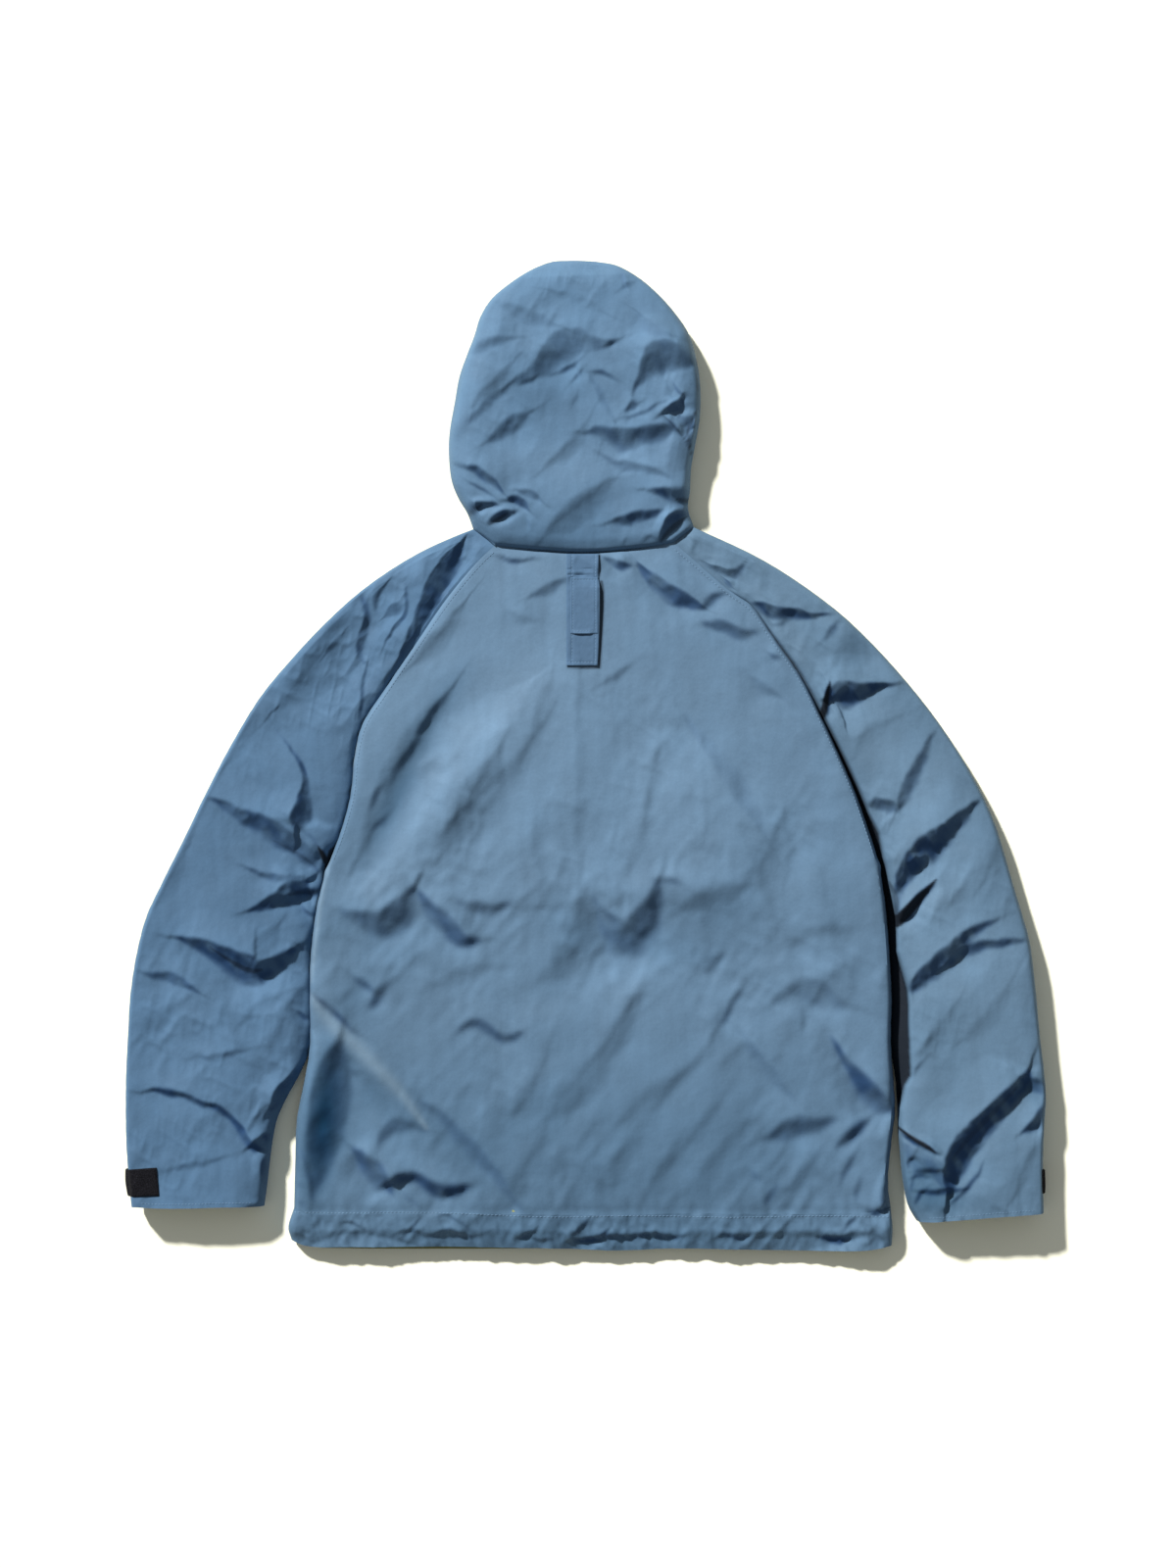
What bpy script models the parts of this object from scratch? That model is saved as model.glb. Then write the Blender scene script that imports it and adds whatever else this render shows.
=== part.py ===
"""A hooded raglan jacket laid flat, face down, so that its back is uppermost and its front lies on the surface.

Frame: metres, +Z up from the surface, +Y from the hem to the hood, -X the wearer's left side.
The tables and the arithmetic are in millimetres, and the last step turns them into metres.

Every cloth panel is a sheet over its own plan outline. A panel's outline is four edges, and an edge is a
smooth line through the rows of its table. An upper sheet rises from its edges to its loft, and a lower sheet
falls from its edges to the surface. Panels that share an edge share its rows, and stay a seam's gap apart.
"""

import math

import bmesh
import bpy
import numpy as np
from mathutils import Matrix, Vector
from mathutils.bvhtree import BVHTree

MM = 0.001

# Driving dimensions, in millimetres
SEAM_GAP = 0.34
CLOTH = 1.4
HEM_CLOTH = 2.2
WEBBING = 1.6
STEEPEST_SHARE = 0.45
ZIP_HALF_WIDTH = 13.0
ZIP_TEETH_HALF_WIDTH = 3.0
ZIP_TEETH_HEIGHT = 2.6
ZIP_TEETH_FLANK = 0.6
ZIP_TOP = 131.0
SLIDER_SIZE = (9.0, 11.0, 3.6)
SLIDER_LIFT = 0.2
SLIDER_TAPER = 0.6
SLIDER_BEVEL = 0.6
HEM_BOTTOM = -503.0

# How far from its edge a sheet is rolled over, and how far its folds stay calm
NECK_ROLL = 12.0
SIDE_ROLL = 22.0
SLEEVE_ROLL = 40.0
SLEEVE_UNDER_ROLL = 44.0
FRONT_ROLL = 40.0
HOOD_ROLL = 40.0
HOOD_SIDE_ROLL = 36.0
CALM_EDGE = 16.0

# Height of the front's neck and seams on the surface, and where along the raglan seam they rise from it
LOWER_HEIGHT = 1.7
LOWER_RISE_FROM = 0.75

# Rows and columns of the sheets. CROWDING draws columns towards the edges, where a sheet rolls over.
RAGLAN_STEPS = 15
SIDE_STEPS = 13
HEM_STEPS = 3
UNDERARM_STEPS = 14
BACK_COLUMNS = 24
NECK_END_STEPS = 2
SLEEVE_COLUMNS = 10
SLEEVE_FRONT_COLUMNS = 6
FRONT_COLUMNS = 6
HOOD_ROWS = 17
HOOD_SIDE_ROWS = 14
HEM_FINENESS = 4
CROWDING = 0.55

# Edges. Columns: across from the centre line, along from the middle of the length, height.
NECK_BACK = (
    (-93, 214, 17), (-76, 212, 16), (-43, 209, 15), (-2, 207, 15), (43, 210, 15), (68, 213, 16), (89, 217, 17),
)
RAGLAN_LEFT = (
    (-93, 214, 17), (-109, 199, 18), (-141, 161, 19), (-174, 113, 19), (-204, 69, 18), (-228, 31, 17),
    (-236, -2, 15), (-240, -40, 13), (-251, -80, 10), (-266, -118, 7),
)
RAGLAN_RIGHT = (
    (89, 217, 17), (123, 188, 18), (148, 167, 18), (169, 152, 17), (194, 117, 14), (219, 81, 11), (241, 38, 9),
    (273, -33, 7), (290, -80, 7), (300, -112, 7),
)
SIDE_LEFT = (
    (-266, -118, 7), (-275, -156, 7), (-281, -205, 8), (-282, -250, 8), (-282, -300, 9), (-288, -334, 9),
    (-295, -372, 9), (-297, -420, 9), (-298, -461, 9),
)
SIDE_RIGHT = (
    (300, -112, 7), (306, -155, 7), (310, -205, 8), (312, -250, 8), (311, -290, 9), (314, -335, 10),
    (315, -362, 10), (310, -408, 10), (308, -438, 9), (311, -461, 9),
)
HEM_END_LEFT = ((-298, -461, 9), (-304, -482, 8), (-301, -494, 7))
HEM_END_RIGHT = ((311, -461, 9), (313, -484, 9), (312, -500, 9))
HEM_EDGE_BACK = (
    (-301, -494, 7), (-286, -500, 12), (-240, -501, 18), (-190, -501, 15), (-135, -501, 10), (-80, -502, 11),
    (-20, -503, 13), (30, -505, 13), (90, -503, 11), (160, -504, 11), (225, -505, 13), (275, -505, 19),
    (298, -503, 17), (312, -500, 9),
)
HEM_EDGE_FRONT = ((-301, -494, 7), (-280, -502, 4), (-240, -504, 1.7), (0, -504, 1.7))
FRONT_NECK = ((-93, 214, 4), (-80, 184, 1.9), (-52, 156, 1.7), (-13, 144, 1.7))
SLEEVE_OUTER_LEFT = (
    (-115, 231, 11), (-133, 224, 11), (-166, 209, 11), (-200, 189, 11), (-233, 165, 11), (-266, 135, 11),
    (-299, 100, 11), (-332, 60, 11), (-362, 11, 11), (-389, -41, 12), (-410, -85, 13), (-432, -129, 13),
    (-448, -164, 13), (-457, -197, 14), (-464, -240, 14), (-467, -285, 15), (-469, -339, 16), (-468, -399, 18),
    (-463, -459, 19),
)
SLEEVE_OUTER_RIGHT = (
    (110, 233, 11), (172, 204, 11), (212, 180, 11), (258, 146, 11), (291, 115, 11), (323, 80, 11),
    (349, 48, 11), (369, 20, 12), (388, -10, 12), (404, -40, 13), (417, -70, 14), (427, -102, 15),
    (436, -134, 16), (445, -164, 17), (452, -191, 18), (458, -240, 19), (462, -285, 20), (466, -320, 21),
    (468, -347, 21), (466, -385, 21), (465, -425, 21), (466, -465, 21),
)
UNDERARM_LEFT = (
    (-266, -118, 7), (-277.5, -154, 7), (-283.5, -205, 7), (-284.5, -250, 8), (-284.8, -296, 9), (-292, -322, 10),
    (-306, -350, 11), (-315, -370, 12), (-319, -388, 13), (-322, -410, 14), (-325, -436, 14), (-328, -459, 15),
)
UNDERARM_RIGHT = (
    (300, -112, 7), (308.5, -155, 7), (312.5, -205, 7), (314.5, -250, 8), (314, -290, 9), (316.5, -335, 9),
    (318, -364, 10), (318.5, -385, 11), (320, -402, 12), (323, -432, 13), (329, -460, 13), (337, -474, 13),
)
CUFF_BACK_LEFT = (
    (-463, -459, 19), (-456, -459, 27), (-438, -460, 33), (-410, -460, 35), (-372, -459, 34), (-346, -459, 29),
    (-333, -459, 22), (-328, -459, 15),
)
CUFF_FRONT_LEFT = (
    (-463, -459, 19), (-457, -459, 11), (-440, -459, 3.6), (-410, -459, 1.7), (-365, -459, 1.9), (-340, -459, 7),
    (-328, -459, 15),
)
CUFF_BACK_RIGHT = (
    (466, -465, 21), (459, -466, 29), (443, -467, 35), (415, -469, 37), (380, -472, 33), (353, -474, 26),
    (341, -474, 19), (337, -474, 13),
)
CUFF_FRONT_RIGHT = (
    (466, -465, 21), (459, -466, 11), (441, -468, 3.6), (410, -469, 1.7), (368, -472, 1.9), (345, -474, 7),
    (337, -474, 13),
)
HOOD_CROWN = ((-34, 504, 12), (-12, 505, 12), (10, 504, 12))
HOOD_LEFT = (
    (-34, 504, 12), (-53, 497, 12), (-76, 483, 12), (-97, 465, 12), (-108, 447, 12), (-114, 428, 12),
    (-121, 410, 12), (-129, 387, 12), (-134, 360, 12), (-139, 331, 12), (-140, 310, 12), (-137, 280, 12),
    (-130, 262, 12), (-121, 247, 12), (-115, 231, 11),
)
HOOD_RIGHT = (
    (10, 504, 12), (31, 500, 12), (53, 488, 12), (72, 472, 13), (90, 452, 14), (104, 431, 15), (112, 406, 16),
    (116, 380, 16), (116, 345, 16), (111, 315, 15), (107, 292, 14), (106, 270, 13), (104, 252, 12), (110, 233, 11),
)
FACE_LEFT = (
    (-12, 462, 1.7), (-42, 446, 1.7), (-62, 392, 1.7), (-66, 320, 1.7), (-54, 240, 1.7), (-30, 180, 1.7),
    (-13, 144, 1.7),
)
FACE_RIGHT = (
    (-12, 462, 1.7), (20, 446, 1.7), (42, 392, 1.7), (47, 320, 1.7), (38, 240, 1.7), (24, 180, 1.7),
    (13, 144, 1.7),
)

# Loft of each upper sheet. Columns: share of the way from its top edge to its bottom edge, height.
BACK_LOFT = (
    (0, 17), (0.08, 21), (0.2, 25), (0.38, 31), (0.5, 32), (0.7, 28), (0.87, 23.5), (0.95, 20), (1, 13),
)
SLEEVE_LEFT_LOFT = ((0, 14), (0.1, 20), (0.3, 24), (0.6, 27), (1, 33))
SLEEVE_RIGHT_LOFT = ((0, 14), (0.1, 19), (0.3, 24), (0.6, 29), (1, 35))
HOOD_LOFT = ((0, 15), (0.12, 30), (0.4, 37), (0.7, 33), (0.92, 27), (1, 24))

# Folds. Columns: points of the crest or the trough, height, reach to its left, reach to its right.
BACK_FOLDS = (
    (((-136, 68), (-180, 12), (-226, -48)), -4, 14, 18),
    (((-163, -50), (-213, -131), (-236, -151)), 3, 22, 22),
    (((-253, -161), (-193, -151), (-175, -134)), 4, 26, 16),
    (((-175, -134), (-115, -195)), -5, 18, 18),
    (((-133, -154), (-107, -148), (-63, -158)), -4, 18, 18),
    (((-133, -284), (-97, -278), (-64, -282)), -4, 16, 16),
    (((-283, -242), (-233, -289), (-166, -365), (-83, -441)), 5, 24, 20),
    (((-259, -299), (-268, -360), (-274, -448)), -6, 30, 18),
    (((-236, -405), (-193, -440), (-130, -438)), -5, 18, 16),
    (((-10, -133), (32, -164), (72, -123)), 3, 30, 22),
    (((20, -180), (36, -205)), -5, 28, 28),
    (((101, 42), (133, -12), (198, -112)), -2.5, 24, 24),
    (((183, -255), (212, -226), (266, -187)), 3, 26, 26),
    (((248, -280), (273, -308), (305, -333)), -5, 18, 18),
    (((34, -443), (83, -372), (162, -311)), 2.5, 34, 34),
    (((176, -383), (255, -368)), -4, 20, 22),
    (((62, 188), (100, 155), (140, 163)), -5, 18, 18),
    (((123, 135), (162, 133), (200, 98)), -3.5, 18, 18),
)
SLEEVE_LEFT_FOLDS = (
    (((-133, 222), (-165, 190), (-185, 140), (-205, 100)), 5, 26, 34),
    (((-240, 165), (-226, 130), (-235, 100), (-226, 60)), -4, 18, 18),
    (((-322, 41), (-292, -5), (-282, -55)), -5, 20, 18),
    (((-385, -45), (-330, -75), (-286, -98), (-262, -120)), -6, 20, 20),
    (((-345, -161), (-300, -140), (-280, -122)), -6, 16, 20),
    (((-389, -194), (-335, -222), (-296, -202)), -7, 18, 24),
    (((-462, -300), (-398, -310), (-349, -303)), -3, 22, 22),
    (((-445, -342), (-392, -348), (-352, -375), (-325, -390)), -7, 16, 22),
    (((-432, -425), (-398, -415), (-352, -408)), -3, 18, 18),
)
SLEEVE_RIGHT_FOLDS = (
    (((168, 155), (201, 148), (248, 146)), -6, 14, 20),
    (((240, 62), (268, 70), (316, 74)), -7, 18, 16),
    (((276, -48), (316, -55), (355, 13)), -4, 20, 20),
    (((312, -140), (330, -101), (376, -69), (400, -44)), -8, 20, 22),
    (((319, -169), (355, -128)), -5, 16, 16),
    (((333, -237), (383, -187), (448, -187)), -5, 22, 22),
    (((355, -440), (383, -390), (426, -340), (451, -320)), -8, 20, 24),
    (((318, -378), (351, -402)), -6, 14, 18),
)
HOOD_FOLDS = (
    (((-74, 376), (-40, 392), (-15, 414), (31, 414)), -6, 18, 20),
    (((-57, 346), (-99, 325)), -4, 20, 20),
    (((52, 367), (66, 408), (94, 416), (113, 399)), -6, 18, 22),
    (((20, 345), (63, 353), (90, 365)), 4, 16, 16),
    (((0, 330), (40, 318), (88, 332)), -6, 18, 20),
    (((55, 271), (84, 267), (105, 271)), -5, 14, 14),
    (((23, 235), (73, 249)), -4, 14, 14),
    (((-32, 241), (31, 283)), -3, 18, 18),
    (((-128, 295), (-89, 273), (-60, 262)), -5, 14, 16),
    (((-110, 250), (-80, 250)), -6, 14, 14),
)

# Gathers of the hem's casing
GATHER_HEIGHT = 1.5
GATHER_LENGTH = 24.5
GATHER_DRIFT = 5.4
GATHER_DRIFT_LENGTH = 410.0
GATHER_FROM = -468.0
GATHER_FULL = -482.0

# Pieces that lie on the panels
TAB = {"left": -20.0, "right": 13.0, "top": 204.0, "bottom": 91.0, "thickness": 2.4, "clear": 0.6}
PATCH = {"left": -16.0, "right": 12.4, "top": 183.0, "bottom": 122.0, "thickness": 1.6, "clear": 0.5}
STRAP_LEFT = {"high": -418.0, "low": -447.0, "over": 31.0, "over_steps": 10, "under": 13.0}
STRAP_RIGHT = {"high": -421.0, "low": -445.0, "over": 1.6, "over_steps": 3, "under": 14.0}
TAB_LIFT = {"height": 1.0, "from": 190.0, "reach": 20.0, "left_share": 0.4}
STRAP_CLEAR = 0.9
STRAP_BULGE = 1.0
STRAP_ROUND_FROM = 0.6

SHELL_BLUE = (0.125, 0.215, 0.33, 1)
STRAP_BLACK = (0.012, 0.012, 0.014, 1)
ZIP_BLUE = (0.09, 0.16, 0.25, 1)


def clear_scene():
    for item in list(bpy.data.objects):
        bpy.data.objects.remove(item)


def material(name, colour, roughness, metallic=0.0):
    made = bpy.data.materials.new(name)
    made.use_nodes = True
    shader = made.node_tree.nodes["Principled BSDF"]
    shader.inputs["Base Color"].default_value = colour
    shader.inputs["Roughness"].default_value = roughness
    shader.inputs["Metallic"].default_value = metallic
    return made


# --- lines and sheets -------------------------------------------------------------------------------------


def dense_line(rows, per_span=16):
    """Points close together on a smooth line through the rows, by centripetal Catmull-Rom spans."""
    p = np.array(rows, float)
    p = np.vstack([2 * p[0] - p[1], p, 2 * p[-1] - p[-2]])
    out = []
    for i in range(1, len(p) - 2):
        a, b, c, d = p[i - 1 : i + 3]
        knots = np.cumsum([0] + [math.sqrt(np.linalg.norm(q - r)) for q, r in ((b, a), (c, b), (d, c))])
        for t in np.linspace(knots[1], knots[2], per_span, endpoint=False):
            ab = (a * (knots[1] - t) + b * (t - knots[0])) / (knots[1] - knots[0])
            bc = (b * (knots[2] - t) + c * (t - knots[1])) / (knots[2] - knots[1])
            cd = (c * (knots[3] - t) + d * (t - knots[2])) / (knots[3] - knots[2])
            abc = (ab * (knots[2] - t) + bc * (t - knots[0])) / (knots[2] - knots[0])
            bcd = (bc * (knots[3] - t) + cd * (t - knots[1])) / (knots[3] - knots[1])
            out.append((abc * (knots[2] - t) + bcd * (t - knots[1])) / (knots[2] - knots[1]))
    out.append(p[-2])
    return np.array(out)


def stations(rows, steps, crowding=0.0):
    """steps + 1 points along the smooth line through the rows, even or crowded towards its two ends."""
    line = dense_line(rows)
    run = np.concatenate([[0], np.cumsum(np.linalg.norm(np.diff(line[:, :2], axis=0), axis=1))])
    share = np.linspace(0, 1, steps + 1)
    share = share - crowding * np.sin(2 * math.pi * share) / (2 * math.pi)
    return np.column_stack([np.interp(share * run[-1], run, line[:, k]) for k in range(3)])


def subdivided(points, parts):
    """The same points with each span between them cut into equal parts."""
    where = np.linspace(0, len(points) - 1, (len(points) - 1) * parts + 1)
    return np.column_stack([np.interp(where, np.arange(len(points)), points[:, k]) for k in range(3)])


def chain(*parts):
    """One edge from several that follow each other."""
    return np.vstack([parts[0]] + [p[1:] for p in parts[1:]])


def coons(top, bottom, left, right):
    """Points across a patch whose four edges are given, indexed by row and then column."""
    s = np.linspace(0, 1, len(top))[None, :, None]
    t = np.linspace(0, 1, len(left))[:, None, None]
    ruled = (1 - t) * top[None] + t * bottom[None] + (1 - s) * left[:, None] + s * right[:, None]
    corners = (1 - t) * ((1 - s) * top[0] + s * top[-1]) + t * ((1 - s) * bottom[0] + s * bottom[-1])
    return ruled - corners


def distance_to(line, x, y):
    """Plan distance from each point to a line of points."""
    near = np.full(x.shape, np.inf)
    for (ax, ay), (bx, by) in zip(line[:-1, :2], line[1:, :2]):
        dx, dy = bx - ax, by - ay
        share = np.clip(((x - ax) * dx + (y - ay) * dy) / (dx * dx + dy * dy + 1e-9), 0, 1)
        near = np.minimum(near, np.hypot(x - ax - share * dx, y - ay - share * dy))
    return near


def rolled(distance, reach):
    """0 at an edge and 1 from reach inwards, on a quarter of an ellipse as a rolled edge is."""
    return np.sqrt(1 - (1 - np.clip(distance / reach, 0, 1)) ** 2)


def fold_relief(folds, x, y):
    """Height that the folds add: each one tapers towards its ends and falls away on its two sides."""
    total = np.zeros(x.shape)
    for path, height, reach_left, reach_right in folds:
        line = dense_line([(*p, 0) for p in path], 6)[:, :2]
        run = np.concatenate([[0], np.cumsum(np.linalg.norm(np.diff(line, axis=0), axis=1))])
        near, side, along = np.full(x.shape, np.inf), np.zeros(x.shape), np.zeros(x.shape)
        for i, ((ax, ay), (bx, by)) in enumerate(zip(line[:-1], line[1:])):
            dx, dy = bx - ax, by - ay
            share = np.clip(((x - ax) * dx + (y - ay) * dy) / (dx * dx + dy * dy + 1e-9), 0, 1)
            gap = np.hypot(x - ax - share * dx, y - ay - share * dy)
            closer = gap < near
            near = np.where(closer, gap, near)
            side = np.where(closer, dx * (y - ay) - dy * (x - ax), side)
            along = np.where(closer, (run[i] + share * (run[i + 1] - run[i])) / run[-1], along)
        off = np.clip(near / np.where(side > 0, reach_left, reach_right), 0, 1)
        taper = np.clip(np.minimum(along, 1 - along) * 4 + 0.25, 0, 1)
        total += height * taper * (1 - off) ** 2 * (1 + 2 * off)
    return total


def gathers(x, y):
    """Ripples of the drawn-in hem, none at its stitching and full towards its edge."""
    drift = GATHER_DRIFT * np.sin(2 * math.pi * x / GATHER_DRIFT_LENGTH)
    fade = np.clip((GATHER_FROM - y) / (GATHER_FROM - GATHER_FULL), 0, 1)
    return GATHER_HEIGHT * fade * np.sin(2 * math.pi * x / GATHER_LENGTH + drift)


def steepness(points):
    """Cosine of the slope at each point of a grid."""
    by_row = np.gradient(points, axis=0)
    by_column = np.gradient(points, axis=1)
    normal = np.cross(by_column, by_row)
    return np.abs(normal[..., 2]) / (np.linalg.norm(normal, axis=-1) + 1e-9)


def upper_sheet(top, bottom, left, right, loft, rolls, folds, extra=None, wall=CLOTH):
    """(inner, outer) faces of a sheet that rises from its edges to its loft. rolls: reach at each edge, or None."""
    grid = coons(top, bottom, left, right)
    x, y = grid[..., 0], grid[..., 1]
    share = np.linspace(0, 1, len(left))[:, None]
    crown = np.interp(share, [r[0] for r in loft], [r[1] for r in loft])
    inward, calm = np.ones(x.shape), np.ones(x.shape)
    for edge, reach in zip((top, bottom, left, right), rolls):
        if reach:
            away = distance_to(edge, x, y)
            inward = inward * rolled(away, reach)
            calm = calm * np.clip(away / CALM_EDGE, 0, 1)
    relief = fold_relief(folds, x, y)
    if extra is not None:
        relief += extra(x, y)
    height = grid[..., 2] + np.maximum(crown - grid[..., 2], 0) * inward + relief * calm
    inner = np.dstack([x, y, height + SEAM_GAP / 2])
    thick = wall / np.maximum(steepness(inner), STEEPEST_SHARE)
    return inner, inner + np.dstack([0 * x, 0 * x, thick])


def lower_sheet(top, bottom, left, right, rolls, wall=CLOTH):
    """(outer, inner) faces of a sheet that falls from its edges to lie flat on the surface."""
    grid = coons(top, bottom, left, right)
    x, y = grid[..., 0], grid[..., 1]
    inward = np.ones(x.shape)
    for edge, reach in zip((top, bottom, left, right), rolls):
        if reach:
            inward = inward * rolled(distance_to(edge, x, y), reach)
    shape = np.dstack([x, y, grid[..., 2] * (1 - inward)])
    thick = wall / np.maximum(steepness(shape), STEEPEST_SHARE)
    under = np.maximum(grid[..., 2] - SEAM_GAP / 2 - thick, 0) * (1 - inward)
    under[under < 0.02] = 0
    outer = np.dstack([x, y, under])
    return outer, outer + np.dstack([0 * x, 0 * x, thick])


def inset(lower, upper, rows, columns):
    """The chosen rows and columns of a sheet, with its border drawn in by half the seam's gap."""
    lower, upper = (face[rows, columns].copy() for face in (lower, upper))
    plan = lower[..., :2].copy()
    shift = np.zeros_like(plan)
    for line, write in (
        (plan[0], (0, slice(None))), (plan[-1], (-1, slice(None))),
        (plan[:, 0], (slice(None), 0)), (plan[:, -1], (slice(None), -1)),
    ):
        along = np.gradient(line, axis=0)
        normal = np.column_stack([-along[:, 1], along[:, 0]])
        normal /= np.linalg.norm(normal, axis=1)[:, None] + 1e-9
        inside = neighbours(plan, write) - line
        normal *= np.sign((normal * inside).sum(axis=1))[:, None]
        shift[write] += normal * SEAM_GAP / 2
    lower[..., :2] += shift
    upper[..., :2] += shift
    return lower, upper


def neighbours(plan, write):
    """The row or column of the grid next to the border that write picks."""
    row, column = write
    if isinstance(row, int):
        return plan[1 if row == 0 else -2]
    return plan[:, 1 if column == 0 else -2]


def solid_between(name, lower, upper, finish):
    """One closed body between two faces of the same grid."""
    rows, columns = lower.shape[:2]
    mesh = bpy.data.meshes.new(name)
    shape = bmesh.new()
    low = [[shape.verts.new(Vector(p) * MM) for p in line] for line in lower]
    high = [[shape.verts.new(Vector(p) * MM) for p in line] for line in upper]
    for i in range(rows - 1):
        for j in range(columns - 1):
            shape.faces.new((high[i][j], high[i + 1][j], high[i + 1][j + 1], high[i][j + 1]))
            shape.faces.new((low[i][j], low[i][j + 1], low[i + 1][j + 1], low[i + 1][j]))
    for i in range(rows - 1):
        shape.faces.new((low[i][0], low[i + 1][0], high[i + 1][0], high[i][0]))
        shape.faces.new((high[i][-1], high[i + 1][-1], low[i + 1][-1], low[i][-1]))
    for j in range(columns - 1):
        shape.faces.new((high[0][j], high[0][j + 1], low[0][j + 1], low[0][j]))
        shape.faces.new((low[-1][j], low[-1][j + 1], high[-1][j + 1], high[-1][j]))
    bmesh.ops.recalc_face_normals(shape, faces=shape.faces)
    shape.to_mesh(mesh)
    shape.free()
    mesh.shade_smooth()
    mesh.set_sharp_from_angle(angle=math.radians(40))
    made = bpy.data.objects.new(name, mesh)
    made.data.materials.append(finish)
    bpy.context.scene.collection.objects.link(made)
    return made


def panel(name, faces, finish, rows=slice(None), columns=slice(None)):
    return solid_between(name, *inset(*faces, rows, columns), finish)


# --- the garment ------------------------------------------------------------------------------------------


def make_back(cloth):
    """The back panel, and the casing of its hem, which is the last rows of the same sheet."""
    top = stations(NECK_BACK, BACK_COLUMNS, CROWDING)
    bottom = stations(HEM_EDGE_BACK, BACK_COLUMNS, CROWDING)
    left = chain(
        stations(RAGLAN_LEFT, RAGLAN_STEPS), stations(SIDE_LEFT, SIDE_STEPS), stations(HEM_END_LEFT, HEM_STEPS)
    )
    right = chain(
        stations(RAGLAN_RIGHT, RAGLAN_STEPS), stations(SIDE_RIGHT, SIDE_STEPS), stations(HEM_END_RIGHT, HEM_STEPS)
    )
    hem_row = RAGLAN_STEPS + SIDE_STEPS
    rolls = (NECK_ROLL, None, SIDE_ROLL, SIDE_ROLL)
    faces = upper_sheet(top, bottom, left, right, BACK_LOFT, rolls, BACK_FOLDS)
    panel("back_panel", faces, cloth, rows=slice(0, hem_row + 1))
    top, bottom = subdivided(top, HEM_FINENESS), subdivided(bottom, HEM_FINENESS)
    faces = upper_sheet(top, bottom, left, right, BACK_LOFT, rolls, BACK_FOLDS, extra=gathers, wall=HEM_CLOTH)
    panel("hem_casing_back", faces, cloth, rows=slice(hem_row, None))


def make_front(side, cloth):
    """One front panel and the casing of its hem. side: -1 the wearer's left, 1 the right."""
    word = "left" if side < 0 else "right"
    raglan, side_seam, hem_end = (
        (RAGLAN_LEFT, SIDE_LEFT, HEM_END_LEFT) if side < 0 else (RAGLAN_RIGHT, SIDE_RIGHT, HEM_END_RIGHT)
    )
    outer = chain(
        stations(front_raglan(raglan), RAGLAN_STEPS), stations(side_seam, SIDE_STEPS), stations(hem_end, HEM_STEPS)
    )
    top = stations(front_neck(side), FRONT_COLUMNS)
    bottom_rows = [outer[-1]] + [(-side * x, y, z) for x, y, z in HEM_EDGE_FRONT[1:-1]]
    bottom = stations(bottom_rows + [(side * ZIP_HALF_WIDTH, HEM_EDGE_FRONT[-1][1], LOWER_HEIGHT)], FRONT_COLUMNS)
    hem_row = RAGLAN_STEPS + SIDE_STEPS
    at_hem = (top[-1][0], outer[hem_row][1] - 3, top[-1][2])
    inner = chain(stations((top[-1], at_hem), hem_row), stations((at_hem, bottom[-1]), HEM_STEPS))
    rolls = (None, None, FRONT_ROLL, None)
    faces = lower_sheet(top, bottom, outer, inner, rolls)
    panel(f"front_{word}", faces, cloth, rows=slice(0, hem_row + 1))
    faces = lower_sheet(top, bottom, outer, inner, rolls, wall=HEM_CLOTH)
    panel(f"hem_casing_front_{word}", faces, cloth, rows=slice(hem_row, None))


def front_raglan(rows):
    """The front seam lies under the back one, on the surface, and rises to it at the underarm."""
    made = []
    for i, (x, y, z) in enumerate(rows):
        share = (i / (len(rows) - 1) - LOWER_RISE_FROM) / (1 - LOWER_RISE_FROM)
        made.append((x, y, LOWER_HEIGHT + (z - LOWER_HEIGHT) * max(0.0, share)))
    made[0] = (rows[0][0], rows[0][1], FRONT_NECK[0][2])
    return made


def front_neck(side):
    """The front neckline from the raglan seam to the zip."""
    corner = RAGLAN_LEFT[0] if side < 0 else RAGLAN_RIGHT[0]
    inner = [(-side * x, y, z) for x, y, z in FRONT_NECK[1:]]
    return [(corner[0], corner[1], FRONT_NECK[0][2])] + inner


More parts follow.
